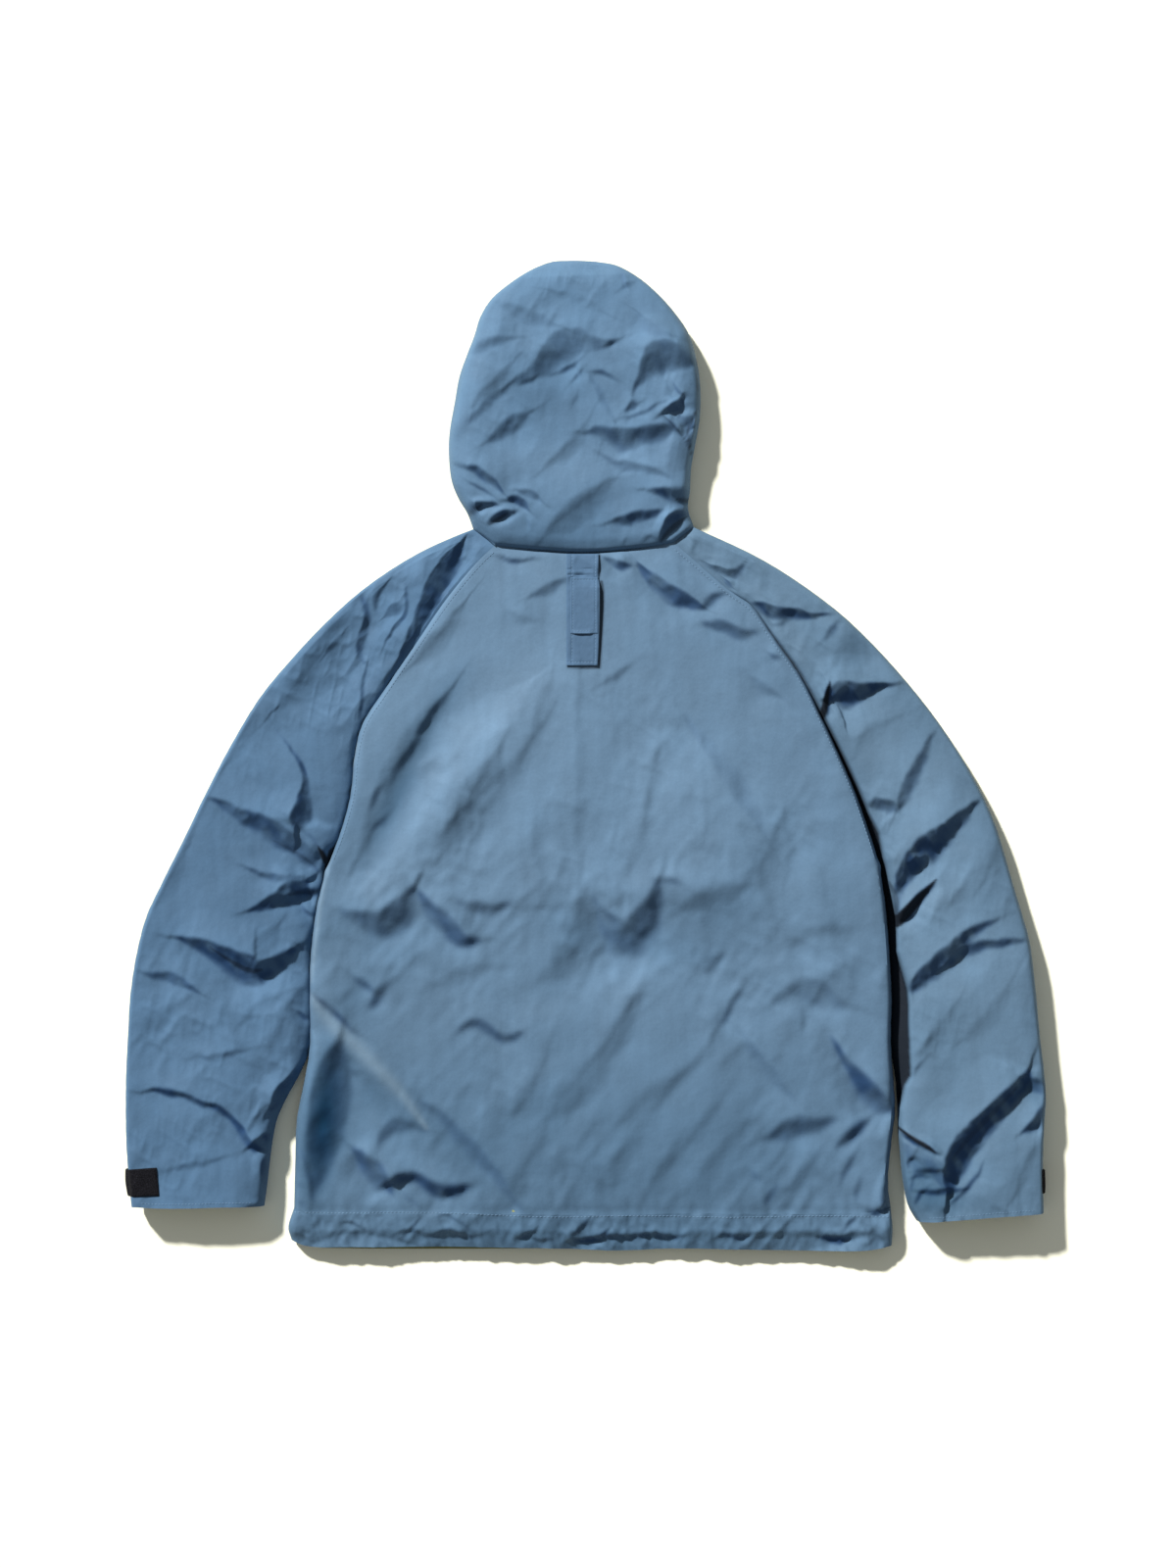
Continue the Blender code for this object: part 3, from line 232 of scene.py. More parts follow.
# Folds. Columns: points of the steep band's middle, each with the band's width there, how steeply the
# band falls to the right-hand side of that line, reach of the gentle rise on both sides, softness.
BACK_FOLDS = (
    (((366, 874, 6), (388, 826, 24), (405, 785, 28), (430, 742, 26), (458, 706, 6)), 0.22, 46, 0.6),
    (((398, 800, 1), (405, 785, 8), (418, 768, 9), (430, 748, 2)), 0.36, 14, 0.3),
    (((378, 826, 1), (383, 812, 6), (392, 800, 1)), 0.5, 10, 0.1),
    (((378, 852, 1), (388, 838, 6), (399, 828, 1)), 0.4, 12, 0.1),
    (((424, 752, 1), (434, 736, 9), (448, 718, 6), (459, 705, 1)), 0.34, 16, 0.4),
    (((540, 700, 8), (497, 742, 44), (455, 785, 50), (425, 830, 46), (385, 890, 20), (350, 918, 6)),
      0.12, 40, 1),
    (((452, 872, 8), (474, 838, 40), (492, 806, 44), (508, 770, 10)), 0.17, 36, 0.3),
    (((592, 938, 3), (592, 850, 10), (591, 760, 12), (592, 690, 4)), 0.16, 50, 0.3),
    (((610, 700, 2), (628, 690, 8), (645, 678, 2)), 0.3, 22, 0.3),
    (((758, 905, 4), (778, 880, 24), (792, 850, 20), (798, 830, 4)), 0.2, 36, 0.5),
    (((790, 700, 3), (812, 740, 10), (838, 790, 3)), 0.2, 30, 0.6),
    (((640, 900, 4), (655, 850, 16), (668, 790, 12), (672, 740, 3)), 0.1, 36, 0.7),
    (((716, 860, 3), (722, 820, 12), (716, 780, 3)), 0.14, 30, 0.6),
    (((558, 1140, 4), (580, 1122, 24), (604, 1094, 20), (640, 1030, 8)), 0.22, 36, 0.4),
    (((548, 1000, 4), (575, 985, 26), (592, 950, 20), (598, 910, 4)), 0.18, 36, 0.4),
    (((345, 1070, 3), (372, 1092, 20), (396, 1128, 20), (410, 1150, 4)), 0.25, 30, 0.4),
    (((690, 930, 4), (720, 912, 20), (750, 905, 14), (768, 903, 3)), 0.22, 34, 0.2),
    (((670, 1130, 3), (690, 1100, 12), (712, 1080, 3)), 0.2, 26, 0.5),
    (((690, 1180, 3), (712, 1150, 12), (735, 1120, 3)), 0.2, 26, 0.5),
    (((800, 965, 3), (830, 950, 16), (868, 948, 4)), 0.16, 30, 0.6),
    (((348, 929, 2), (370, 935, 14), (392, 941, 26), (408, 929, 26), (421, 907, 8)), 0.5, 28, 0.05),
    (((430, 910, 5), (446, 930, 16), (462, 948, 17), (477, 959, 14), (489, 958, 4)), 0.7, 24, 0.1),
    (((317, 1012, 3), (331, 1022, 5), (347, 1038, 7), (367, 1054, 2)), 0.8, 24, 0.1),
    (((357, 992, 1), (372, 1003, 8), (386, 1015, 2)), 0.6, 10, 0),
    (((374, 1028, 1), (383, 1020, 9), (389, 1009, 8), (399, 1002, 1)), 0.6, 12, 0),
    (((348, 1021, 1), (355, 1014, 5), (361, 1008, 1)), 0.4, 10, 0),
    (((466, 1054, 1), (477, 1045, 6), (487, 1041, 7), (499, 1047, 9), (508, 1057, 9),
      (520, 1060, 8), (530, 1056, 5), (537, 1051, 1)), 0.6, 24, 0.3),
    (((320, 1223, 3), (324, 1190, 20), (330, 1150, 32), (335, 1110, 34), (341, 1080, 24),
      (347, 1060, 6)), 0.5, 30, 0.2),
    (((352, 1090, 2), (361, 1096, 6), (370, 1094, 1)), 0.4, 12, 0.1),
    (((320, 1219, 1), (315, 1198, 4), (311, 1177, 4), (304, 1168, 1)), 0.6, 8, 0),
    (((299, 1207, 1), (306, 1206, 4), (311, 1209, 1)), 0.6, 6, 0),
    (((301, 1226, 1), (308, 1225, 4), (313, 1228, 1)), 0.6, 6, 0),
    (((387, 1168, 2), (392, 1155, 9), (403, 1145, 14), (416, 1144, 10), (436, 1152, 2)),
      0.45, 22, 0.1),
    (((361, 1172, 4), (373, 1182, 18), (386, 1196, 20), (396, 1208, 16), (401, 1216, 4)),
      1, 24, 0.3),
    (((400, 1206, 8), (412, 1199, 9), (426, 1200, 9), (438, 1207, 12), (450, 1213, 13),
      (464, 1213, 10), (479, 1209, 2)), 0.85, 22, 0.15),
    (((409, 1213, 1), (420, 1223, 4), (433, 1234, 1)), 0.5, 10, 0),
    (((428, 1120, 3), (447, 1135, 10), (468, 1156, 14), (494, 1181, 14), (515, 1206, 10),
      (534, 1236, 2)), 0.45, 34, 0.6),
    (((783, 1026, 1), (795, 1016, 6), (808, 1008, 12), (822, 1006, 20), (838, 1012, 24),
      (852, 1020, 16), (867, 1025, 4)), 0.35, 40, 0.2),
    (((727, 1056, 1), (739, 1034, 5), (750, 1017, 6), (758, 1007, 2)), 0.6, 28, 0.1),
    (((715, 982, 2), (727, 977, 8), (739, 973, 2)), 0.3, 18, 0.3),
    (((676, 986, 1), (682, 991, 6), (687, 995, 1)), 0.3, 14, 0.3),
    (((622, 1079, 3), (637, 1058, 14), (650, 1027, 3)), 0.25, 36, 0.7),
    (((754, 1050, 3), (772, 1074, 10), (790, 1099, 12), (808, 1121, 2)), 0.45, 34, 0.7),
    (((847, 1055, 2), (862, 1080, 8), (878, 1101, 14), (892, 1118, 20), (902, 1128, 16),
      (912, 1131, 3)), 1, 26, 0.15),
    (((905, 1103, 1), (908, 1102, 4), (911, 1101, 1)), 0.8, 6, 0),
    (((775, 1162, 2), (793, 1153, 14), (812, 1147, 20), (830, 1146, 14), (845, 1142, 8),
      (855, 1139, 1)), 0.5, 32, 0.3),
    (((849, 1172, 1), (860, 1161, 9), (873, 1149, 12), (889, 1139, 2)), 0.7, 18, 0.1),
    (((853, 1212, 1), (863, 1193, 6), (875, 1170, 2)), 0.5, 16, 0.2),
    (((871, 1225, 1), (874, 1212, 5), (878, 1199, 1)), 0.6, 10, 0.2),
    (((882, 1231, 2), (893, 1236, 6), (905, 1230, 4)), 0.9, 10, 0),
    (((902, 1224, 10), (905, 1210, 8), (906, 1194, 2)), 1.2, 8, 0),
    (((763, 1192, 1), (771, 1198, 6), (778, 1203, 1)), 0.5, 14, 0.2),
    (((776, 1229, 1), (784, 1220, 6), (795, 1207, 1)), 0.6, 12, 0.1),
    (((350, 1246, 1), (363, 1246, 4), (374, 1255, 1)), 0.6, 6, 0),
    (((400, 1262, 1), (420, 1252, 4), (436, 1262, 4), (455, 1251, 3), (476, 1263, 4),
      (500, 1255, 1)), 0.45, 8, 0),
    (((446, 1240, 1), (456, 1236, 3), (468, 1246, 4), (484, 1258, 1)), 0.5, 8, 0),
    (((412, 1262, 1), (424, 1250, 3), (430, 1242, 1)), 0.5, 6, 0),
    (((527, 1263, 1), (538, 1259, 5), (546, 1253, 2)), 0.7, 7, 0),
    (((540, 1262, 1), (552, 1264, 4), (565, 1263, 1)), 0.7, 6, 0),
    (((582, 1266, 2), (598, 1264, 6), (612, 1260, 6), (620, 1254, 2)), 0.9, 7, 0),
    (((584, 1261, 1), (595, 1248, 5), (601, 1242, 1)), 0.7, 8, 0),
    (((604, 1264, 1), (622, 1258, 5), (640, 1263, 5), (662, 1258, 5), (684, 1264, 5),
      (700, 1260, 1)), 0.7, 7, 0),
    (((728, 1263, 1), (742, 1258, 5), (756, 1263, 5), (770, 1258, 1)), 0.6, 7, 0),
    (((860, 1255, 1), (866, 1247, 4), (873, 1240, 1)), 0.7, 6, 0),
    (((836, 1262, 2), (852, 1266, 8), (870, 1263, 2)), 0.9, 8, 0),
    (((468, 919, 3), (485, 925, 12), (501, 929, 10), (519, 921, 3)), 0.5, 26, 0.1),
    (((608, 918, 3), (622, 942, 18), (637, 955, 38), (654, 944, 30), (665, 920, 18), (671, 901, 5)),
      0.5, 40, 0.05),
    (((664, 899, 1), (680, 897, 8), (697, 903, 1)), 0.49, 14, 0.1),
    (((560, 925, 8), (660, 922, 54), (760, 935, 54), (840, 975, 8)), 0.17, 150, 1),
    (((782, 856, 3), (760, 818, 18), (734, 778, 18), (698, 730, 3)), 0.32, 46, 0.3),
    (((822, 1002, 3), (790, 930, 20), (762, 862, 3)), 0.17, 40, 0.6),
    (((651, 574, 2), (672, 597, 15), (700, 615, 15), (718, 622, 2)), 0.77, 26, 0.4),
    (((714, 624, 2), (724, 612, 10), (740, 606, 2)), 0.57, 16, 0.2),
    (((614, 567, 1), (632, 578, 9), (646, 577, 1)), 0.77, 16, 0.2),
    (((716, 638, 2), (738, 636, 12), (756, 650, 12), (774, 644, 2)), 0.57, 24, 0.3),
    (((782, 666, 1), (790, 671, 6), (797, 670, 1)), 0.57, 10, 0.2),
    (((766, 690, 2), (780, 702, 14), (798, 713, 2)), 0.33, 26, 0.7),
    (((516, 621, 2), (528, 632, 13), (544, 634, 2)), 0.27, 26, 0.8),
    (((541, 610, 2), (560, 600, 12), (580, 590, 2)), 0.38, 26, 0.7),
    (((702, 726, 1), (708, 742, 8), (714, 762, 1)), 0.37, 30, 0.4),
    (((500, 567, 1), (522, 572, 5), (550, 570, 1)), 0.69, 12, 0.1),
    (((608, 1236, 3), (630, 1190, 20), (662, 1135, 3)), 0.13, 30, 0.8),
    (((652, 1238, 2), (672, 1198, 16), (702, 1148, 2)), 0.16, 30, 0.8),
    (((624, 1150, 3), (664, 1116, 22), (724, 1078, 3)), 0.13, 36, 0.8),
    (((506, 1232, 3), (540, 1190, 18), (566, 1130, 3)), 0.14, 34, 0.7),
    (((700, 1236, 3), (728, 1180, 20), (770, 1130, 3)), 0.13, 36, 0.8),
    (((620, 1060, 3), (650, 1010, 22), (700, 975, 3)), 0.13, 44, 0.8),
    (((716, 993, 1), (726, 985, 9), (740, 972, 1)), 0.38, 18, 0.3),
    (((800, 1215, 2), (820, 1196, 14), (836, 1170, 2)), 0.28, 26, 0.6),
    (((440, 1005, 3), (470, 990, 20), (520, 985, 3)), 0.17, 40, 0.9),
    (((520, 1140, 3), (545, 1112, 20), (560, 1070, 3)), 0.2, 36, 0.8),
    (((420, 680, 3), (448, 652, 22), (476, 612, 3)), 0.26, 44, 0.8),
    (((540, 760, 3), (556, 720, 22), (562, 690, 3)), 0.16, 44, 0.9),
    (((504, 800, 3), (532, 775, 22), (556, 735, 3)), 0.18, 50, 0.9),
    (((560, 905, 3), (545, 870, 18), (548, 830, 3)), 0.17, 36, 0.8),
    (((655, 860, 2), (660, 820, 16), (672, 770, 2)), 0.17, 40, 0.8),
    (((800, 900, 2), (806, 862, 12), (800, 830, 2)), 0.23, 30, 0.6),
    (((868, 1000, 2), (846, 940, 16), (836, 880, 2)), 0.17, 40, 0.8),
)
SLEEVE_LEFT_FOLDS = (
    (((395, 698, 2), (416, 664, 9), (430, 636, 17), (443, 602, 20), (457, 574, 19), (470, 555, 6)),
      0.7, 36, 0.1),
    (((471, 572, 1), (464, 565, 5), (466, 553, 1)), 0.6, 8, 0),
    (((391, 662, 1), (402, 643, 4), (413, 627, 5), (417, 611, 4), (413, 595, 1)), 0.6, 12, 0),
    (((392, 630, 2), (402, 622, 12), (410, 612, 2)), 0.4, 10, 0.1),
    (((388, 629, 1), (384, 618, 4), (384, 607, 5), (394, 595, 2)), 0.5, 12, 0),
    (((375, 680, 1), (367, 669, 5), (369, 650, 7), (374, 636, 8), (375, 620, 7), (367, 604, 2)),
      0.6, 20, 0.1),
    (((364, 772, 1), (368, 742, 3), (369, 714, 4), (374, 682, 3)), 0.5, 20, 0),
    (((366, 668, 1), (371, 675, 4), (376, 680, 1)), 0.9, 5, 0),
    (((285, 720, 6), (310, 692, 40), (340, 655, 50), (362, 622, 30), (366, 606, 4)), 0.22, 40, 0.9),
    (((333, 668, 2), (342, 658, 7), (350, 648, 2)), 0.3, 14, 0.1),
    (((304, 843, 8), (305, 835, 20), (309, 820, 12), (313, 803, 5), (310, 785, 4), (300, 766, 3),
      (281, 742, 1)), 0.8, 26, 0),
    (((293, 833, 2), (310, 848, 4), (327, 862, 4), (336, 878, 2)), 0.5, 14, 0),
    (((326, 866, 2), (331, 874, 8), (333, 884, 2)), 1.2, 6, 0),
    (((214, 815, 2), (245, 829, 10), (262, 838, 18), (284, 850, 20), (305, 862, 16), (320, 876, 14),
      (328, 890, 3)), 0.75, 30, 0.05),
    (((251, 884, 2), (270, 893, 7), (290, 896, 8), (305, 895, 4)), 0.6, 12, 0.1),
    (((253, 930, 2), (270, 924, 8), (288, 915, 16), (304, 907, 22), (312, 900, 6)), 0.8, 20, 0),
    (((308, 912, 4), (318, 910, 10), (328, 912, 6)), 0.7, 10, 0),
    (((307, 922, 2), (313, 932, 5), (323, 937, 3)), 0.9, 8, 0),
    (((180, 957, 2), (205, 962, 13), (230, 974, 20), (252, 986, 26), (262, 991, 22), (275, 985, 18),
      (292, 976, 12), (303, 968, 2)), 1, 30, 0.05),
    (((262, 975, 6), (270, 962, 24), (282, 946, 6)), 0.2, 20, 0.3),
    (((300, 962, 1), (308, 967, 4), (315, 971, 1)), 0.5, 8, 0),
    (((146, 992, 2), (170, 995, 8), (185, 998, 10), (206, 1011, 3)), 0.6, 26, 0.6),
    (((205, 1079, 2), (228, 1076, 8), (252, 1070, 2)), 0.35, 24, 0.7),
    (((303, 1032, 2), (311, 1037, 5), (319, 1042, 2)), 0.8, 8, 0),
    (((150, 1112, 2), (170, 1111, 6), (205, 1121, 6), (236, 1136, 6), (250, 1155, 8),
      (261, 1169, 8), (272, 1172, 3)), 1, 34, 0),
    (((258, 1168, 3), (268, 1162, 8), (280, 1156, 4)), 0.9, 12, 0),
    (((278, 1130, 4), (286, 1116, 16), (298, 1102, 10), (314, 1081, 3)), 1.2, 16, 0.05),
    (((175, 1192, 2), (198, 1186, 6), (235, 1178, 2)), 0.35, 22, 0.5),
    (((253, 1228, 2), (263, 1229, 5), (272, 1229, 2)), 0.6, 8, 0),
    (((272, 1228, 4), (270, 1188, 6), (274, 1180, 2)), 0.8, 12, 0.2),
    (((140, 1060, 4), (160, 1040, 22), (190, 1020, 4)), 0.14, 40, 0.9),
    (((150, 930, 4), (176, 900, 22), (190, 870, 4)), 0.18, 40, 0.8),
    (((232, 780, 4), (250, 750, 26), (262, 716, 4)), 0.16, 40, 0.9),
    (((250, 1040, 3), (268, 1024, 16), (292, 1012, 3)), 0.2, 30, 0.7),
)
SLEEVE_RIGHT_FOLDS = (
    (((711, 573, 2), (728, 578, 5), (745, 586, 10), (756, 580, 6), (760, 575, 2)), 0.5, 20, 0.1),
    (((738, 592, 2), (742, 597, 6), (746, 601, 2)), 1, 6, 0),
    (((766, 617, 3), (776, 619, 10), (792, 623, 11), (810, 627, 10), (826, 628, 6), (851, 625, 1)),
      0.8, 26, 0.05),
    (((784, 634, 1), (794, 637, 5), (806, 633, 2)), 0.4, 12, 0.2),
    (((840, 652, 2), (849, 643, 9), (857, 634, 3)), 0.45, 20, 0.3),
    (((850, 680, 4), (868, 660, 40), (880, 640, 8)), 0.15, 40, 0.9),
    (((843, 712, 4), (852, 707, 22), (866, 706, 22), (880, 704, 16), (895, 700, 8), (914, 698, 2)),
      0.9, 30, 0.05),
    (((838, 737, 3), (842, 722, 6), (844, 706, 4), (846, 697, 2)), 1, 8, 0),
    (((879, 823, 2), (890, 819, 10), (902, 820, 13), (912, 824, 10), (915, 828, 2)), 0.5, 20, 0.2),
    (((914, 826, 4), (922, 808, 12), (934, 784, 12), (945, 762, 8), (955, 744, 1)), 0.5, 36, 0.3),
    (((913, 930, 4), (915, 908, 9), (922, 888, 18), (938, 869, 25), (955, 856, 22), (970, 842, 14),
      (985, 828, 8), (998, 816, 1)), 0.9, 36, 0.1),
    (((911, 942, 4), (924, 930, 13), (939, 914, 9), (954, 898, 1)), 1.2, 14, 0),
    (((926, 880, 1), (934, 874, 5), (940, 890, 1)), 0.8, 6, 0),
    (((927, 1008, 8), (946, 990, 18), (967, 972, 20), (982, 956, 14), (1003, 943, 6),
      (1019, 936, 1)), 0.7, 30, 0.1),
    (((962, 986, 3), (982, 972, 10), (1000, 962, 9), (1022, 961, 7), (1048, 958, 1)), 0.7, 28, 0.1),
    (((966, 1212, 8), (969, 1189, 22), (981, 1164, 24), (1002, 1142, 20), (1024, 1119, 18),
      (1042, 1101, 14), (1047, 1089, 3)), 1.1, 40, 0.1),
    (((1044, 1100, 4), (1054, 1104, 16), (1068, 1113, 4)), 0.6, 12, 0.1),
    (((915, 1162, 3), (934, 1178, 16), (956, 1190, 18), (962, 1208, 5)), 0.5, 16, 0.2),
    (((922, 1186, 1), (930, 1178, 4), (938, 1184, 1)), 0.7, 6, 0),
    (((926, 1202, 1), (936, 1194, 5), (948, 1199, 1)), 0.7, 6, 0),
    (((929, 1232, 1), (934, 1218, 5), (945, 1208, 1)), 0.7, 7, 0),
    (((985, 1188, 1), (994, 1176, 6), (1006, 1164, 1)), 0.5, 12, 0),
    (((938, 1213, 3), (958, 1213, 7), (980, 1211, 3)), 0.8, 10, 0),
    (((932, 1192, 2), (944, 1189, 6), (952, 1190, 4)), 0.8, 10, 0),
    (((962, 1231, 1), (978, 1219, 4), (991, 1202, 4), (1003, 1184, 1)), 0.7, 16, 0),
    (((913, 1149, 2), (926, 1159, 5), (940, 1168, 5), (951, 1172, 4)), 1.6, 8, 0),
    (((921, 1103, 1), (930, 1094, 6), (944, 1080, 1)), 0.5, 12, 0.1),
    (((1040, 1156, 2), (1052, 1148, 12), (1062, 1136, 18), (1067, 1124, 6)), 0.8, 12, 0),
    (((922, 1236, 1), (926, 1216, 6), (932, 1200, 2)), 0.5, 8, 0),
    (((921, 1196, 1), (926, 1184, 5), (934, 1170, 2)), 0.5, 8, 0),
    (((884, 640, 4), (902, 690, 20), (930, 740, 4)), 0.15, 40, 0.8),
    (((980, 1060, 4), (1008, 1040, 22), (1030, 1000, 4)), 0.14, 44, 0.9),
    (((930, 1080, 4), (955, 1060, 22), (975, 1020, 4)), 0.14, 40, 0.9),
    (((1000, 900, 3), (1012, 880, 16), (1018, 856, 3)), 0.18, 30, 0.8),
    (((1030, 1220, 3), (1044, 1196, 14), (1052, 1170, 3)), 0.2, 26, 0.7),
    (((870, 770, 4), (884, 745, 20), (910, 735, 4)), 0.13, 40, 0.9),
)
HOOD_FOLDS = (
    (((632, 279, 1), (637, 284, 4), (638, 290, 3)), 0.5, 10, 0),
    (((634, 297, 2), (640, 293, 5), (645, 290, 2)), 0.4, 10, 0),
    (((479, 361, 3), (490, 354, 14), (508, 349, 10), (526, 347, 3)), 0.35, 26, 0.6),
    (((506, 308, 3), (530, 320, 14), (556, 332, 12), (570, 336, 3)), 0.3, 26, 0.6),
    (((522, 394, 2), (534, 388, 6), (550, 378, 14), (564, 362, 24), (578, 350, 26), (592, 348, 22),
      (604, 352, 12), (618, 353, 8), (630, 349, 2)), 0.4, 34, 0.2),
    (((528, 395, 1), (540, 390, 5), (550, 385, 1)), 0.5, 12, 0),
    (((558, 385, 1), (583, 376, 5), (595, 365, 1)), 0.6, 14, 0),
    (((613, 356, 1), (622, 353, 6), (630, 350, 1)), 0.5, 10, 0),
    (((463, 447, 3), (475, 435, 5), (503, 409, 8), (522, 393, 3)), 0.35, 30, 0.3),
    (((495, 453, 2), (508, 444, 10), (522, 433, 16), (540, 423, 3)), 0.4, 26, 0.4),
    (((581, 393, 1), (590, 385, 4), (597, 377, 1)), 0.5, 10, 0),
    (((583, 419, 1), (587, 410, 4), (591, 401, 1)), 0.3, 12, 0.2),
    (((603, 381, 1), (616, 383, 5), (630, 391, 1)), 0.6, 14, 0),
    (((629, 433, 3), (615, 414, 7), (604, 392, 5), (601, 380, 1)), 0.35, 22, 0.2),
    (((646, 404, 2), (652, 390, 8), (660, 376, 20), (670, 366, 34), (682, 364, 34), (694, 370, 18),
      (704, 373, 8), (711, 373, 2)), 0.5, 26, 0.1),
    (((636, 423, 1), (644, 415, 8), (650, 413, 2)), 0.6, 12, 0),
    (((632, 430, 1), (656, 423, 4), (685, 407, 1)), 0.6, 16, 0),
    (((673, 426, 2), (683, 420, 9), (691, 416, 12), (694, 411, 4)), 1, 10, 0),
    (((687, 391, 1), (691, 401, 3), (707, 413, 1)), 0.8, 10, 0),
    (((711, 419, 1), (703, 434, 4), (701, 446, 4), (706, 468, 1)), 1.2, 8, 0),
    (((711, 372, 1), (710, 395, 3), (711, 419, 1)), 0.5, 5, 0),
    (((673, 426, 1), (685, 436, 4), (697, 446, 4), (705, 464, 1)), 0.7, 10, 0),
    (((692, 428, 4), (702, 432, 10), (711, 434, 3)), 0.6, 8, 0),
    (((596, 442, 2), (612, 440, 8), (630, 446, 18), (640, 450, 20), (655, 444, 14), (668, 442, 18),
      (680, 440, 12), (686, 440, 2)), 0.55, 26, 0.15),
    (((613, 464, 2), (634, 476, 8), (664, 481, 8), (685, 489, 2)), 0.4, 26, 0.5),
    (((662, 502, 2), (675, 503, 8), (690, 506, 13), (702, 507, 16)), 0.8, 20, 0.1),
    (((673, 552, 2), (677, 540, 8), (685, 531, 12), (697, 524, 5)), 1.1, 9, 0),
    (((621, 535, 2), (636, 532, 9), (652, 527, 9), (668, 523, 5), (676, 522, 1)), 0.7, 20, 0.1),
    (((636, 558, 1), (638, 554, 3), (639, 550, 1)), 0.4, 6, 0),
    (((653, 553, 1), (662, 546, 4), (668, 549, 1)), 0.4, 8, 0),
    (((556, 548, 3), (575, 530, 22), (596, 514, 26), (615, 498, 14), (629, 487, 2)), 0.25, 40, 0.8),
    (((468, 476, 2), (484, 479, 5), (498, 489, 8), (512, 502, 3)), 0.9, 18, 0.1),
    (((477, 491, 1), (489, 497, 3), (507, 511, 1)), 0.8, 8, 0),
    (((515, 511, 2), (526, 509, 6), (536, 515, 6), (540, 521, 2)), 0.9, 12, 0.1),
    (((528, 503, 2), (542, 505, 8), (554, 513, 2)), 0.6, 16, 0.2),
    (((479, 526, 2), (484, 517, 8), (495, 515, 6), (507, 516, 2)), 1.1, 6, 0),
    (((501, 534, 2), (509, 528, 8), (516, 523, 7), (527, 521, 1)), 1.1, 6, 0),
    (((538, 528, 1), (539, 535, 3), (539, 542, 1)), 0.5, 6, 0),
    (((480, 420, 3), (500, 398, 14), (524, 372, 3)), 0.24, 30, 0.7),
    (((556, 480, 3), (580, 462, 18), (600, 430, 3)), 0.22, 34, 0.8),
    (((650, 324, 3), (664, 338, 14), (684, 344, 3)), 0.35, 26, 0.6),
    (((560, 300, 3), (590, 306, 14), (620, 322, 3)), 0.2, 30, 0.8),
)

# Crests made paler by wear and by a painted highlight. Columns: points of the crest, each with the paler
# width there.
RUBBED_AND_HIGHLIGHT = (
    ((319, 1017, 10), (336, 1040, 15), (363, 1065, 16), (384, 1086, 15), (409, 1112, 12),
      (435, 1149, 6)),
    ((365, 760, 5), (330, 900, 6), (318, 1000, 5)),
)

# Painted shadow along the darkest pits, where one layer tucks under another or a raised edge casts shade.
# Columns: points with the pit's width, strength.
BODY_PIT_SHADOWS = (
    (((611.5, 566, 2), (611.8, 578, 2.4), (612, 588, 1)), 0.7),
    (((613.6, 594, 3), (614.6, 606, 5), (613.6, 640, 4), (611.5, 681, 3)), 0.75),
    (((579, 681, 2), (595, 682, 2.4), (611, 681.5, 2.4)), 0.75),
)
LEFT_PIT_SHADOWS = (
    (((325, 864, 1), (329, 871, 6), (333, 880, 6), (334, 888, 1)), 1),
    (((296, 913, 2), (308, 910, 5), (322, 911, 5), (327, 906, 1)), 0.5),
    (((216, 966, 1), (236, 980, 4), (256, 991, 6), (268, 989, 2)), 0.6),
    (((280, 858, 1), (296, 866, 4), (312, 876, 3), (322, 884, 1)), 0.3),
)
RIGHT_PIT_SHADOWS = (
    (((837, 738, 5), (841, 722, 8), (844, 704, 4), (846, 697, 1)), 1),
    (((907, 946, 9), (919, 936, 13), (937, 916, 9), (954, 897, 1)), 1),
    (((912, 1147, 2), (930, 1160, 4), (943, 1167, 5), (951, 1173, 2)), 1),
    (((906, 900, 3), (914, 915, 5), (913, 935, 4)), 0.5),
    (((970, 1180, 2), (985, 1160, 6), (1010, 1135, 6), (1035, 1108, 3)), 0.3),
)
HOOD_PIT_SHADOWS = (
    (((711, 360, 1), (712, 385, 1.6), (711, 419, 1)), 0.6),
    (((676, 426, 1), (688, 437, 1.6), (700, 452, 2), (706, 466, 1)), 0.5),
    (((711, 419, 1), (704, 433, 2.2), (701, 446, 2.2), (706, 468, 1)), 0.8),
    (((476, 527, 2), (484, 522, 5), (492, 516, 2)), 0.7),
    (((500, 536, 2), (508, 531, 5), (518, 525, 2)), 0.7),
    (((674, 553, 2), (680, 545, 5), (690, 536, 6), (699, 529, 3)), 0.6),
    (((690, 510, 2), (700, 512, 6), (706, 510, 3)), 0.6),
)

